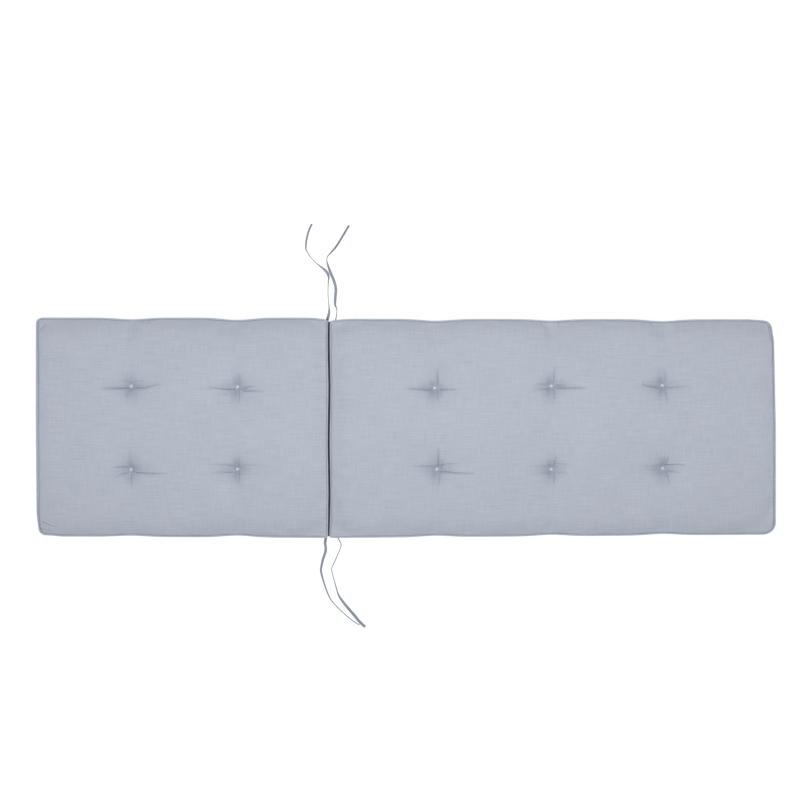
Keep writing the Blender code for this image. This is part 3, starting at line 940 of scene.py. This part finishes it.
class MeshShop:
    """Small helpers that turn a bmesh or a curve into a finished piece."""

    # How much sooner a face is mapped from above than from a side
    level_favour = 1.6

    @staticmethod
    def sliced_box(low: Vector, high: Vector, cuts: Sequence[Iterable[float]]) -> bmesh.types.BMesh:
        """A box that is cut across each axis.

        Args:
            low: Its lowest corner.
            high: Its highest corner.
            cuts: The places of the cuts along x, y and z.

        Returns:
            The box as a bmesh.
        """
        mesh = bmesh.new()
        bmesh.ops.create_cube(mesh, size=1.0)
        bmesh.ops.scale(mesh, vec=high - low, verts=mesh.verts)
        bmesh.ops.translate(mesh, vec=(high + low) / 2, verts=mesh.verts)
        for axis, places in enumerate(cuts):
            normal = Vector((0.0, 0.0, 0.0))
            normal[axis] = 1.0
            for place in places:
                parts = mesh.verts[:] + mesh.edges[:] + mesh.faces[:]
                bmesh.ops.bisect_plane(mesh, geom=parts, dist=TOUCH, plane_co=normal * place, plane_no=normal)
        return mesh

    @staticmethod
    def values(items: Any, name: str, kind: type = np.int32, width: int = 1) -> np.ndarray:
        """One property of every item of a mesh's collection.

        Args:
            items: The mesh's vertices, loops or polygons.
            name: The property.
            kind: The type of its numbers.
            width: How many numbers an item has.

        Returns:
            A row for each item, or a plain list of numbers for a width of 1.
        """
        numbers = np.empty(len(items) * width, dtype=kind)
        items.foreach_get(name, numbers)
        return numbers if width == 1 else numbers.reshape(-1, width)

    @staticmethod
    def read(mesh: bpy.types.Mesh) -> np.ndarray:
        """The mesh's points, one row each."""
        return MeshShop.values(mesh.vertices, "co", np.float32, 3).astype(float)

    @staticmethod
    def write(mesh: bpy.types.Mesh, points: np.ndarray) -> None:
        """Move the mesh's points to the rows."""
        mesh.vertices.foreach_set("co", points.astype(np.float32).ravel())
        mesh.update()

    @staticmethod
    def placed(name: str, data: bpy.types.Mesh | bpy.types.Curve) -> bpy.types.Object:
        """An object in the scene that shows a mesh or a curve."""
        thing = bpy.data.objects.new(name, data)
        bpy.context.scene.collection.objects.link(thing)
        return thing

    @staticmethod
    def piece(name: str, mesh: bmesh.types.BMesh) -> bpy.types.Object:
        """A smooth shaded object from a bmesh, which is freed."""
        data = bpy.data.meshes.new(name)
        mesh.to_mesh(data)
        mesh.free()
        data.shade_smooth()
        return MeshShop.placed(name, data)

    @staticmethod
    def evaluated(thing: bpy.types.Object) -> bpy.types.Object:
        """The object as its modifiers leave it."""
        return thing.evaluated_get(bpy.context.evaluated_depsgraph_get())

    @staticmethod
    def smoothed(thing: bpy.types.Object) -> None:
        """Apply one level of subdivision to a piece."""
        finer = thing.modifiers.new("finer", "SUBSURF")
        finer.levels = 1
        finer.render_levels = 1
        old = thing.data
        shaped = bpy.data.meshes.new_from_object(MeshShop.evaluated(thing))
        thing.modifiers.clear()
        thing.data = shaped
        bpy.data.meshes.remove(old)
        shaped.shade_smooth()

    @staticmethod
    def write_map(mesh: bpy.types.Mesh, across: np.ndarray, along: np.ndarray) -> None:
        """Store the map that the cloth reads, a place in metres for each corner of each face."""
        layer = mesh.uv_layers.new(name=CLOTH_MAP)
        layer.uv.foreach_set("vector", np.column_stack([across, along]).astype(np.float32).ravel())

    @staticmethod
    def map_cloth(mesh: bpy.types.Mesh) -> None:
        """Give each face a map in metres, seen from the side that it faces most, sooner from above."""
        normals = np.abs(MeshShop.values(mesh.polygons, "normal", np.float32, 3))
        facing = np.argmax(normals * (1.0, 1.0, MeshShop.level_favour), axis=1)
        facing = np.repeat(facing, MeshShop.values(mesh.polygons, "loop_total"))
        spots = MeshShop.read(mesh)[MeshShop.values(mesh.loops, "vertex_index")]
        across = np.where(facing == 0, spots[:, 1], spots[:, 0])
        MeshShop.write_map(mesh, across, np.where(facing == 2, spots[:, 1], spots[:, 2]))

    @staticmethod
    def line(name: str, bevel: float, resolution: int, count: int) -> bpy.types.Curve:
        """A curve with a round bevel and one straight-edged run of points.

        Args:
            name: Its name.
            bevel: The bevel's radius.
            resolution: How finely the bevel is divided.
            count: How many points the run has.

        Returns:
            The curve, whose points still lie at nought.
        """
        curve = bpy.data.curves.new(name, "CURVE")
        curve.dimensions = "3D"
        curve.twist_mode = "Z_UP"
        curve.bevel_depth = bevel
        curve.bevel_resolution = resolution
        curve.splines.new("POLY").points.add(count - 1)
        return curve

    @staticmethod
    def swept(name: str, curve: bpy.types.Curve) -> bpy.types.Object:
        """The mesh of a curve as a smooth shaded object, whose curve is removed."""
        line = MeshShop.placed("line", curve)
        data = bpy.data.meshes.new_from_object(MeshShop.evaluated(line))
        bpy.data.objects.remove(line)
        bpy.data.curves.remove(curve)
        data.shade_smooth()
        return MeshShop.placed(name, data)

    @staticmethod
    def map_run(mesh: bpy.types.Mesh, rings: int, length: float, girth: float, turn: float = 0.0) -> None:
        """Give a swept mesh a map in metres: round its section, and along its run.

        Args:
            mesh: The swept mesh, whose points lie ring by ring.
            rings: How many rings it has.
            length: The full run.
            girth: The length round its section.
            turn: How far the map is turned, in radians, as cloth cut on the bias is.
        """
        around = len(mesh.vertices) // rings
        corners = MeshShop.values(mesh.loops, "vertex_index")
        totals = MeshShop.values(mesh.polygons, "loop_total")
        owner = np.repeat(np.arange(len(totals)), totals)
        ring = np.minimum(corners // around, rings - 1)
        spoke = corners % around
        for numbers, count in ((ring, rings), (spoke, around)):
            highest = np.zeros(len(totals), dtype=np.int64)
            np.maximum.at(highest, owner, numbers)
            numbers[(numbers == 0) & (highest[owner] == count - 1) & (count > 2)] = count
        across = spoke / around * girth
        along = ring / rings * length
        MeshShop.write_map(mesh, across * math.cos(turn) - along * math.sin(turn),
                           across * math.sin(turn) + along * math.cos(turn))

    @staticmethod
    def dress(thing: bpy.types.Object, material: bpy.types.Material, slot: str, node: str) -> None:
        """Give a piece its material and its body, and hide the node that it stands for."""
        thing.data.materials.clear()
        thing.data.materials.append(material)
        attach(thing, BODY)
        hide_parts(node)
        LOG.info("%s: %d faces", thing.name, len(thing.data.polygons))


@dataclass
class FilledSection:
    """One boxed and filled section of the pad."""

    plan: SectionPlan
    material: bpy.types.Material
    step: float = 0.0136
    edge_steps: tuple[float, ...] = (0.0015, 0.0034, 0.0060)
    wall_shares: tuple[float, ...] = (0.12, 0.32, 0.52, 0.72, 0.90)
    swell: float = 0.005
    swell_edge: float = 0.030
    wall_swell: float = 0.0006
    star_radius: float = 0.030
    star_floor: float = 0.0050
    star_fall: float = 0.0140
    star_points: float = 0.16
    # Painted shade round each tuft: its reach, its strength, its most, how fast it falls off and how far it
    # is shifted
    painted_shade_reach: float = 0.034
    painted_shade_share: float = 0.20
    painted_shade_most: float = 0.7
    painted_shade_fall: float = 2.6
    painted_shade_shift: tuple[float, float] = (-0.002, -0.004)
    fine_widths: tuple[float, ...] = (7.0, 4.0, 2.3)
    fine_radii: tuple[float, ...] = (1.2, 0.75, 0.0)
    finest_below: float = 2.5
    billow: float = 0.0007
    still_end: float = 0.010
    still_side: float = 0.012
    billow_run: float = 0.05
    wave_along: Wave = Wave(47.0, 2.1, 19.0)
    wave_across: Wave = Wave(38.0, 1.3, 23.0)
    tied_steps: float = 0.6
    frames: int = 20
    fill: float = 0.8

    cloth_settings = {
        "quality": 6, "mass": 0.25, "tension_stiffness": 25.0, "compression_stiffness": 25.0,
        "shear_stiffness": 8.0, "bending_stiffness": 0.6, "use_pressure": True,
        "uniform_pressure_force": 4.0, "shrink_min": -0.02,
    }

    def stations(self, stops: Sequence[float]) -> list[float]:
        """Evenly spaced cuts between stops, the two ends left out.

        Args:
            stops: Places that each get a cut, in order.

        Returns:
            The cuts.
        """
        places = [stops[0] + gap for gap in self.edge_steps] + [stops[-1] - gap for gap in self.edge_steps]
        for first, last in zip(stops, stops[1:]):
            count = max(1, round((last - first) / self.step))
            places += [first + (last - first) * number / count for number in range(count)]
        return sorted(set(places))[1:]

    def plain(self) -> bpy.types.Object:
        """The section's box, cut finely and carried to its filled shape before it swells."""
        plan = self.plan
        columns = [column.x for column in plan.columns]
        along = self.stations([plan.low, *columns, plan.high])
        across = self.stations([-plan.half, -TUFT_ROW_Y, 0.0, TUFT_ROW_Y, plan.half])
        low = Vector((plan.low, -plan.half, 0.0))
        high = Vector((plan.high, plan.half, 1.0))
        mesh = MeshShop.sliced_box(low, high, (along, across, self.wall_shares))
        crease = mesh.edges.layers.float.new("crease_edge")
        for edge in mesh.edges:
            ends = [vertex.co for vertex in edge.verts]
            level = abs(ends[0].z - ends[1].z) < TOUCH and (ends[0].z < TOUCH or ends[0].z > 1.0 - TOUCH)
            if level and all(self.on_rim(spot) for spot in ends) and len(edge.link_faces) == 2:
                if any(abs(face.normal.z) < 0.5 for face in edge.link_faces):
                    edge[crease] = 1.0
        thing = MeshShop.piece(plan.name + "_cover", mesh)
        points = MeshShop.read(thing.data)
        self.shares = points[:, 2].copy()
        self.side_gap = plan.half - np.abs(points[:, 1])
        self.end_gap = np.minimum(points[:, 0] - plan.low, plan.high - points[:, 0])
        MeshShop.write(thing.data, self.carried(points))
        return thing

    @property
    def rim_gap(self) -> np.ndarray:
        """The distance from each point of the plain box to its nearest wall."""
        return np.minimum(self.side_gap, self.end_gap)

    def on_rim(self, spot: Vector) -> bool:
        """Whether a point of the plain box is on its outer walls."""
        plan = self.plan
        return min(plan.half - abs(spot.y), spot.x - plan.low, plan.high - spot.x) < TOUCH

    def slack(self, x: np.ndarray, y: np.ndarray) -> np.ndarray:
        """How far the upper face starts below its filled height at each point."""
        near = self.plan.near_tufts(x, y, self.swell_edge)
        return self.swell * rise(self.rim_gap, self.swell_edge) * (1.0 - near)

    def carried(self, points: np.ndarray) -> np.ndarray:
        """Carry points of the plain box to the pad's surface; their z is the share of the height."""
        share = self.shares
        bulge = self.plan.wall_bulge(points[:, 0], points[:, 1]) * np.sin(math.pi * np.clip(share, 0.0, 1.0))
        bulge = np.where(self.rim_gap < TOUCH, bulge, 0.0)
        x, y = self.plan.rim(points[:, 0], points[:, 1], bulge, share)
        top = self.plan.top(x, y, self.side_gap, self.end_gap)
        sewn = np.abs(self.end_gap - self.edge_steps[0]) < TOUCH
        groove = self.plan.near(points[:, 0], self.plan.start_groove, self.plan.end_groove)
        top = top - np.where(sewn & (self.side_gap > self.edge_steps[0]), groove, 0.0)
        self.slacks = np.where(share > 1.0 - TOUCH, self.slack(x, y), 0.0)
        top = top - self.slacks
        under = self.plan.under(x, y, self.side_gap, self.end_gap)
        return np.column_stack([x, y, under + (top - under) * share])

    def inflate(self, thing: bpy.types.Object) -> None:
        """Swell the cover with air pressure while its seams, tufts and underside stay put."""
        start = MeshShop.read(thing.data)
        top = self.shares > 1.0 - TOUCH
        tied = self.rim_gap < TOUCH
        for tuft in self.plan.tufts():
            tied |= np.hypot(start[:, 0] - tuft.x, start[:, 1] - tuft.y) < self.step * self.tied_steps
        held = (self.shares < TOUCH) | (top & tied)
        group = thing.vertex_groups.new(name="held")
        group.add([int(number) for number in np.flatnonzero(held)], 1.0, "REPLACE")
        cloth = thing.modifiers.new("filling", "CLOTH")
        for name, value in self.cloth_settings.items():
            setattr(cloth.settings, name, value)
        cloth.settings.vertex_group_mass = group.name
        cloth.settings.effector_weights.gravity = 0.0
        cloth.point_cache.frame_start = 1
        cloth.point_cache.frame_end = self.frames
        scene = bpy.context.scene
        for frame in range(1, self.frames + 1):
            scene.frame_set(frame)
        moved = MeshShop.read(MeshShop.evaluated(thing).to_mesh()) - start
        MeshShop.evaluated(thing).to_mesh_clear()
        scene.frame_set(1)
        thing.modifiers.clear()
        thing.vertex_groups.clear()
        distance = np.maximum(np.linalg.norm(moved, axis=1), TOUCH)
        cap = np.where(top, np.maximum(self.slacks, 0.0), self.wall_swell)
        kept = cap * np.tanh(distance / np.maximum(cap, TOUCH))
        MeshShop.write(thing.data, start + moved * (kept / distance)[:, None])
        LOG.info("%s swelled by %.1f mm at most", thing.name, kept.max() * MM_PER_METRE)

    def marks(self) -> list[tuple[Crease, float, float]]:
        """Every crease of the section with its zero."""
        plan = self.plan
        spots = (*plan.tufts(), *plan.edge_marks)
        return [(crease, spot.x, spot.y) for spot in spots for crease in spot.creases]

    def refine(self, thing: bpy.types.Object) -> None:
        """Divide the upper faces near the tufts and creases, so that they can take fine shapes."""
        mesh = bmesh.new()
        mesh.from_mesh(thing.data)
        for widths, radii in zip(self.fine_widths, self.fine_radii):
            faces = [face for face in mesh.faces if face.normal.z > UPWARD]
            middles = np.array([face.calc_center_median()[:] for face in faces])
            chosen = np.zeros(len(faces), dtype=bool)
            for distance in self.plan.tuft_distances(middles[:, 0], middles[:, 1]):
                chosen |= distance < self.star_radius * radii
            for crease, x, y in self.marks():
                if radii > 0.0 or crease.width < self.finest_below:
                    reach = widths * (crease.width / MM_PER_METRE)
                    near, away, _, _ = crease.measured(middles, x, y, reach)
                    chosen[near[away < reach]] = True
            edges = list({edge for number in np.flatnonzero(chosen) for edge in faces[number].edges})
            bmesh.ops.subdivide_edges(mesh, edges=edges, cuts=1, use_grid_fill=True, smooth=0.0)
        mesh.to_mesh(thing.data)
        mesh.free()
        thing.data.shade_smooth()

    def billows(self, x: np.ndarray, y: np.ndarray) -> np.ndarray:
        """The slight unevenness of the filling, which fades out at the rim and the tufts."""
        inside = rise(np.minimum(x - self.plan.start, self.plan.end - x) - self.still_end, self.billow_run)
        inside = inside * rise(HALF_WIDTH - self.still_side - np.abs(y), self.billow_run)
        inside = inside * (1.0 - self.plan.near_tufts(x, y, 2.0 * self.star_radius))
        return self.billow * inside * self.wave_along.at(x, y) * self.wave_across.at(y, x)

    def shape(self, thing: bpy.types.Object) -> None:
        """Sink the tufts as four-pointed stars, press the creases into the upper face, and paint shade round
        the tufts and along the creases.
        """
        points = MeshShop.read(thing.data)
        up = MeshShop.values(thing.data.vertices, "normal", np.float32, 3)[:, 2] > UPWARD
        x, y = points[:, 0], points[:, 1]
        lift = self.billows(x, y)
        painted_shade = np.zeros(len(points))
        for tuft, distance in zip(self.plan.tufts(), self.plan.tuft_distances(x, y)):
            star = 1.0 + self.star_points * np.cos(4.0 * np.arctan2(y - tuft.y, x - tuft.x))
            outside = np.maximum(distance - self.star_floor, 0.0)
            lift -= self.plan.tuft_deep_depth * np.exp(-outside / (self.star_fall * star))
            # Painted shade round the tuft, darkest near the button and shifted to the left and the front
            shifted = np.hypot(x - tuft.x - self.painted_shade_shift[0], y - tuft.y - self.painted_shade_shift[1])
            painted_shade += self.painted_shade_share * np.exp(-(shifted / (self.painted_shade_reach * star)) ** self.painted_shade_fall)
        for crease, zero_x, zero_y in self.marks():
            crease.press(points, lift, painted_shade, zero_x, zero_y)
        points[:, 2] += np.where(up, lift, 0.0)
        MeshShop.write(thing.data, points)
        # Store the painted shade, on the upper face only, as an attribute that the cloth reads
        layer = thing.data.attributes.new(PAINTED_SHADE, "FLOAT", "POINT")
        painted_shade = np.where(up, np.clip(painted_shade, 0.0, self.painted_shade_most), 0.0)
        layer.data.foreach_set("value", painted_shade.astype(np.float32))

    def build(self) -> bpy.types.Object:
        """Make the section.

        Returns:
            The finished cover.
        """
        thing = self.plain()
        self.inflate(thing)
        MeshShop.smoothed(thing)
        self.refine(thing)
        self.shape(thing)
        MeshShop.map_cloth(thing.data)
        MeshShop.dress(thing, self.material, "cover_cloth", self.plan.name + "_pad")
        return thing


@dataclass
class Piping:
    """The cord wrapped in cloth that runs round a section's top seam."""

    plan: SectionPlan
    material: bpy.types.Material
    step: float = 0.0032
    radius: float = PIPING_RADIUS
    resolution: int = 4
    samples_along: int = 400
    samples_across: int = 200

    def route(self) -> tuple[np.ndarray, float]:
        """The piping's centre line.

        Returns:
            Rows of points evenly round the seam, and the full length.
        """
        plan = self.plan
        front = ((plan.low, -plan.half), (plan.high, -plan.half))
        rear = ((plan.high, plan.half), (plan.low, plan.half))
        counts = (self.samples_along, self.samples_across) * 2
        sides = zip(front + rear, front[1:] + rear + front[:1], counts)
        loop = np.vstack([np.linspace(first, last, count)[:-1] for first, last, count in sides])
        x, y = plan.rim(loop[:, 0], loop[:, 1], PIPING_OUT)
        points = np.column_stack([x, y, plan.seam_height(x, y) + PIPING_LIFT])
        closed = np.vstack([points, points[:1]])
        run = lengths_along(closed)
        even = np.linspace(0.0, run[-1], int(run[-1] / self.step), endpoint=False)
        return read_at(even, run, closed), float(run[-1])

    def build(self) -> bpy.types.Object:
        """Make the piping.

        Returns:
            The finished piping.
        """
        name = self.plan.name + "_piping"
        route, length = self.route()
        curve = MeshShop.line(name + "_line", self.radius, self.resolution, len(route))
        for spot, point in zip(curve.splines[0].points, route):
            spot.co = (*point, 1.0)
        curve.splines[0].use_cyclic_u = True
        thing = MeshShop.swept(name + "_cover", curve)
        MeshShop.map_run(thing.data, len(route), length, 2.0 * math.pi * self.radius, math.pi / 4)
        MeshShop.dress(thing, self.material, "piping_cloth", name)
        return thing


@dataclass
class TuftButton:
    """A small domed button that sits in a tuft."""

    number: int
    material: bpy.types.Material
    radius: float = 0.0046
    steps: int = 28

    # The profile from the top of the dome to its base, as shares of the radius and of the height
    profile = ((0.0, 1.0), (0.34, 0.95), (0.62, 0.82), (0.82, 0.62), (0.95, 0.40), (1.0, 0.22),
               (0.96, 0.10), (0.80, 0.02), (0.0, 0.0))

    def build(self) -> bpy.types.Object:
        """Spin the button's profile about its axis.

        Returns:
            The finished button.
        """
        node = f"button_{self.number}"
        low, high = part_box(node)
        centre = (low + high) / 2
        height = high.z - low.z
        mesh = bmesh.new()
        spots = [mesh.verts.new((self.radius * out, 0.0, height * up)) for out, up in self.profile]
        lines = [mesh.edges.new(pair) for pair in zip(spots, spots[1:])]
        bmesh.ops.spin(mesh, geom=spots + lines, cent=(0, 0, 0), axis=(0, 0, 1),
                       angle=2.0 * math.pi, steps=self.steps, use_merge=True)
        bmesh.ops.remove_doubles(mesh, verts=mesh.verts, dist=TOUCH)
        bmesh.ops.recalc_face_normals(mesh, faces=mesh.faces)
        bmesh.ops.translate(mesh, vec=Vector((centre.x, centre.y, low.z)), verts=mesh.verts)
        thing = MeshShop.piece(node + "_cover", mesh)
        MeshShop.dress(thing, self.material, "button_cover", node)
        return thing


@dataclass
class FoldHinge:
    """The cloth strip that joins the two bottom seams at the fold."""

    material: bpy.types.Material
    thickness: float = 0.0016
    gap: float = 0.0012
    drop: float = 0.0004
    sag: float = 0.0022
    rear_y: float = 0.2753
    front_y: float = -0.2830
    ripple: float = 0.0003
    wave: Wave = Wave(130.0, 2.0, 37.0)
    steps_across: int = 12
    steps_along: int = 110

    def build(self) -> bpy.types.Object:
        """Make the strip.

        Returns:
            The finished strip.
        """
        across = [step / self.steps_across for step in range(1, self.steps_across)]
        along = [step / self.steps_along for step in range(1, self.steps_along)]
        mesh = MeshShop.sliced_box(Vector((0.0, 0.0, 0.0)), Vector((1.0, 1.0, 1.0)), (across, along))
        thing = MeshShop.piece("fold_hinge_cloth", mesh)
        share = MeshShop.read(thing.data)
        y = self.front_y + (self.rear_y - self.front_y) * share[:, 1]
        left = BACK.high + self.gap
        right = SEAT.low - self.gap
        x = left + (right - left) * share[:, 0] + BACK.fold_shift(np.full_like(y, FOLD_X), y)
        ripple = self.ripple * self.wave.at(y, y)
        z = BOTTOM_SEAM_HEIGHT - self.drop + (ripple - self.sag) * np.sin(math.pi * share[:, 0])
        z = z + self.thickness * (share[:, 2] - 0.5)
        MeshShop.write(thing.data, np.column_stack([x, y, z]))
        MeshShop.map_cloth(thing.data)
        MeshShop.dress(thing, self.material, "hinge_cloth", "fold_hinge")
        return thing


@dataclass(frozen=True)
class Stop:
    """A place on a tie's route: x and y in metres, and its turn, 0 flat and 90 on its edge."""

    x: float
    y: float
    turn: float


@dataclass
class Tie:
    """A narrow flat tape that lies on the floor and turns along its route."""

    node: str
    stops: tuple[Stop, ...]
    material: bpy.types.Material
    width: float = 0.0076
    thickness: float = 0.0020
    lift: float = 0.0002
    step: float = 0.0020
    samples: int = 24
    resolution: int = 2

    def rows(self) -> np.ndarray:
        """Rows of x, y and turn at even steps along a smooth curve through the stops."""
        table = smooth_line(np.array([(stop.x, stop.y, stop.turn) for stop in self.stops]), self.samples)
        run = lengths_along(table[:, :2])
        return read_at(np.linspace(0.0, run[-1], round(run[-1] / self.step) + 1), run, table)

    def build(self) -> bpy.types.Object:
        """Make the tie and log its length.

        Returns:
            The finished tie.
        """
        path = []
        rows = self.rows()
        curve = MeshShop.line(self.node + "_line", self.thickness / 2, self.resolution, len(rows))
        curve.use_fill_caps = True
        curve.extrude = self.width / 2 - curve.bevel_depth
        for spot, (x, y, degrees) in zip(curve.splines[0].points, rows):
            turn = math.radians(min(max(degrees, 0.0), 90.0))
            height = (self.width * math.sin(turn) + self.thickness * math.cos(turn)) / 2 + self.lift
            path.append((x, y, height))
            spot.co = (x, y, height, 1.0)
            spot.tilt = math.pi / 2 - turn
        thing = MeshShop.swept(self.node + "_tape", curve)
        length = float(lengths_along(np.array(path))[-1])
        MeshShop.map_run(thing.data, len(path), length, 2.0 * (self.width + self.thickness))
        MeshShop.dress(thing, self.material, "tie_tape", self.node)
        LOG.info("%s: %.0f mm long", thing.name, length * MM_PER_METRE)
        return thing


TIE_ROUTES: dict[str, tuple[Stop, ...]] = {
    "tie_rear_back": (
        Stop(-0.2041, 0.2775, 0), Stop(-0.1995, 0.2935, 10), Stop(-0.1982, 0.3060, 60),
        Stop(-0.1993, 0.3200, 85), Stop(-0.2013, 0.3456, 90), Stop(-0.2008, 0.3755, 80),
        Stop(-0.1998, 0.3913, 55), Stop(-0.2042, 0.4032, 15), Stop(-0.2151, 0.4141, 55),
        Stop(-0.2319, 0.4271, 88), Stop(-0.2467, 0.4429, 90), Stop(-0.2567, 0.4587, 80),
        Stop(-0.2592, 0.4667, 68), Stop(-0.2573, 0.4877, 58), Stop(-0.2519, 0.5098, 55),
        Stop(-0.2436, 0.5292, 55)),
    "tie_rear_seat": (
        Stop(-0.1819, 0.2770, 82), Stop(-0.1788, 0.2961, 85), Stop(-0.1789, 0.3099, 80),
        Stop(-0.1828, 0.3189, 50), Stop(-0.1823, 0.3397, 10), Stop(-0.1809, 0.3596, 0),
        Stop(-0.1853, 0.3794, 0), Stop(-0.1941, 0.4011, 20), Stop(-0.2021, 0.4232, 62),
        Stop(-0.2045, 0.4351, 85), Stop(-0.2025, 0.4450, 85), Stop(-0.1972, 0.4509, 70),
        Stop(-0.1803, 0.4704, 52), Stop(-0.1625, 0.4988, 48), Stop(-0.1469, 0.5252, 48)),
    "tie_front_back": (
        Stop(-0.2067, -0.2843, 25), Stop(-0.2089, -0.3005, 30), Stop(-0.2073, -0.3197, 15),
        Stop(-0.2146, -0.3438, 35), Stop(-0.2188, -0.3630, 48), Stop(-0.2192, -0.3770, 50),
        Stop(-0.2120, -0.4030, 68), Stop(-0.2032, -0.4289, 72), Stop(-0.1936, -0.4481, 80),
        Stop(-0.1780, -0.4664, 86), Stop(-0.1606, -0.4832, 88), Stop(-0.1399, -0.5008, 86),
        Stop(-0.1196, -0.5142, 84)),
    "tie_front_seat": (
        Stop(-0.1774, -0.2845, 84), Stop(-0.1702, -0.2970, 88), Stop(-0.1671, -0.3065, 88),
        Stop(-0.1710, -0.3187, 86), Stop(-0.1806, -0.3412, 84), Stop(-0.1908, -0.3646, 86),
        Stop(-0.1914, -0.3734, 88), Stop(-0.1850, -0.3985, 86), Stop(-0.1780, -0.4237, 78),
        Stop(-0.1720, -0.4395, 55), Stop(-0.1573, -0.4603, 22), Stop(-0.1363, -0.4848, 5),
        Stop(-0.1188, -0.5060, 0), Stop(-0.1045, -0.5192, 0)),
}


@dataclass(frozen=True)
class SoftBox:
    """A lamp with a wide soft face, which the camera doesn't see."""

    name: str
    place: tuple[float, float, float]
    aim: tuple[float, float, float]
    size: tuple[float, float]
    power: float

    def hang(self) -> None:
        """Hang the lamp at its place and point it at its aim."""
        data = bpy.data.lights.new(self.name, "AREA")
        data.shape = "RECTANGLE"
        data.size, data.size_y = self.size
        data.energy = self.power
        lamp = bpy.data.objects.new(self.name, data)
        lamp.location = self.place
        lamp.rotation_euler = (Vector(self.aim) - Vector(self.place)).to_track_quat("-Z", "Y").to_euler()
        lamp.visible_camera = False
        bpy.context.scene.collection.objects.link(lamp)


@dataclass
class Studio:
    """The floor, the lights and the camera."""

    centre_x: float = -0.0141
    centre_y: float = 0.0713
    view_width: float = 2.0744
    lens: float = 200.0
    sensor: float = 36.0
    sight: float = 100.0
    floor_size: float = 16.0
    floor_drop: float = 0.0004
    room_colour: Colour = (0.85, 0.92, 1.07, 1.0)
    room_strength: float = 0.20
    boxes: tuple[SoftBox, ...] = (
        SoftBox("side_box", (-1.5, -0.3, 7.0), (0.0, 0.0, 0.0), (1.6, 1.4), 140.0),
        SoftBox("side_box", (1.5, -0.3, 7.0), (0.0, 0.0, 0.0), (1.6, 1.4), 140.0),
        SoftBox("near_box", (0.0, 0.08, 0.9), (0.0, 0.08, 0.0), (2.9, 0.3), 7.4),
    )

    def camera(self) -> None:
        """Place the camera straight above the pad."""
        data = bpy.data.cameras.new("camera")
        data.lens = self.lens
        data.sensor_width = self.sensor
        data.clip_end = self.sight
        camera = bpy.data.objects.new("camera", data)
        height = self.view_width * self.lens / self.sensor + TOP_SEAM_HEIGHT
        camera.location = (self.centre_x, self.centre_y, height)
        bpy.context.scene.collection.objects.link(camera)
        bpy.context.scene.camera = camera

    def floor(self) -> None:
        """Lay the floor just under the pad."""
        mesh = bmesh.new()
        bmesh.ops.create_grid(mesh, x_segments=1, y_segments=1, size=self.floor_size / 2)
        bmesh.ops.translate(mesh, vec=Vector((0.0, 0.0, -self.floor_drop)), verts=mesh.verts)
        thing = MeshShop.piece("floor", mesh)
        thing.data.materials.append(FloorFinish().make())

    def lights(self) -> None:
        """Set the room light and hang the soft boxes."""
        world = bpy.data.worlds.new("studio")
        bpy.context.scene.world = world
        world.use_nodes = True
        background = world.node_tree.nodes["Background"]
        background.inputs["Color"].default_value = self.room_colour
        background.inputs["Strength"].default_value = self.room_strength
        for box in self.boxes:
            box.hang()

    def colour(self) -> None:
        """Show colours plainly, without a film curve."""
        bpy.context.scene.view_settings.view_transform = "Standard"
        bpy.context.scene.view_settings.look = "None"


def corners(box: tuple[Vector, Vector]) -> list[list[float]]:
    """A box as plain lists."""
    return [list(corner) for corner in box]


def main() -> None:
    """Build the dressed pad and its studio."""
    logging.basicConfig(level=logging.INFO, format="%(message)s")
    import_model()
    studio = Studio()
    studio.camera()
    tape = TIE_CLOTH.make()
    for node, stops in TIE_ROUTES.items():
        Tie(node, stops, tape).build()
    cover = COVER_CLOTH.make()
    piping = PIPING_CLOTH_PAINTED_LIGHTER.make()
    for plan in (BACK, SEAT):
        FilledSection(plan, cover).build()
        Piping(plan, piping).build()
    shell = BUTTON_COVER.make()
    for number in range(1, len(BACK.tufts() + SEAT.tufts()) + 1):
        TuftButton(number, shell).build()
    FoldHinge(HINGE_CLOTH.make()).build()
    studio.floor()
    studio.lights()
    studio.colour()


if __name__ == "__main__":
    main()
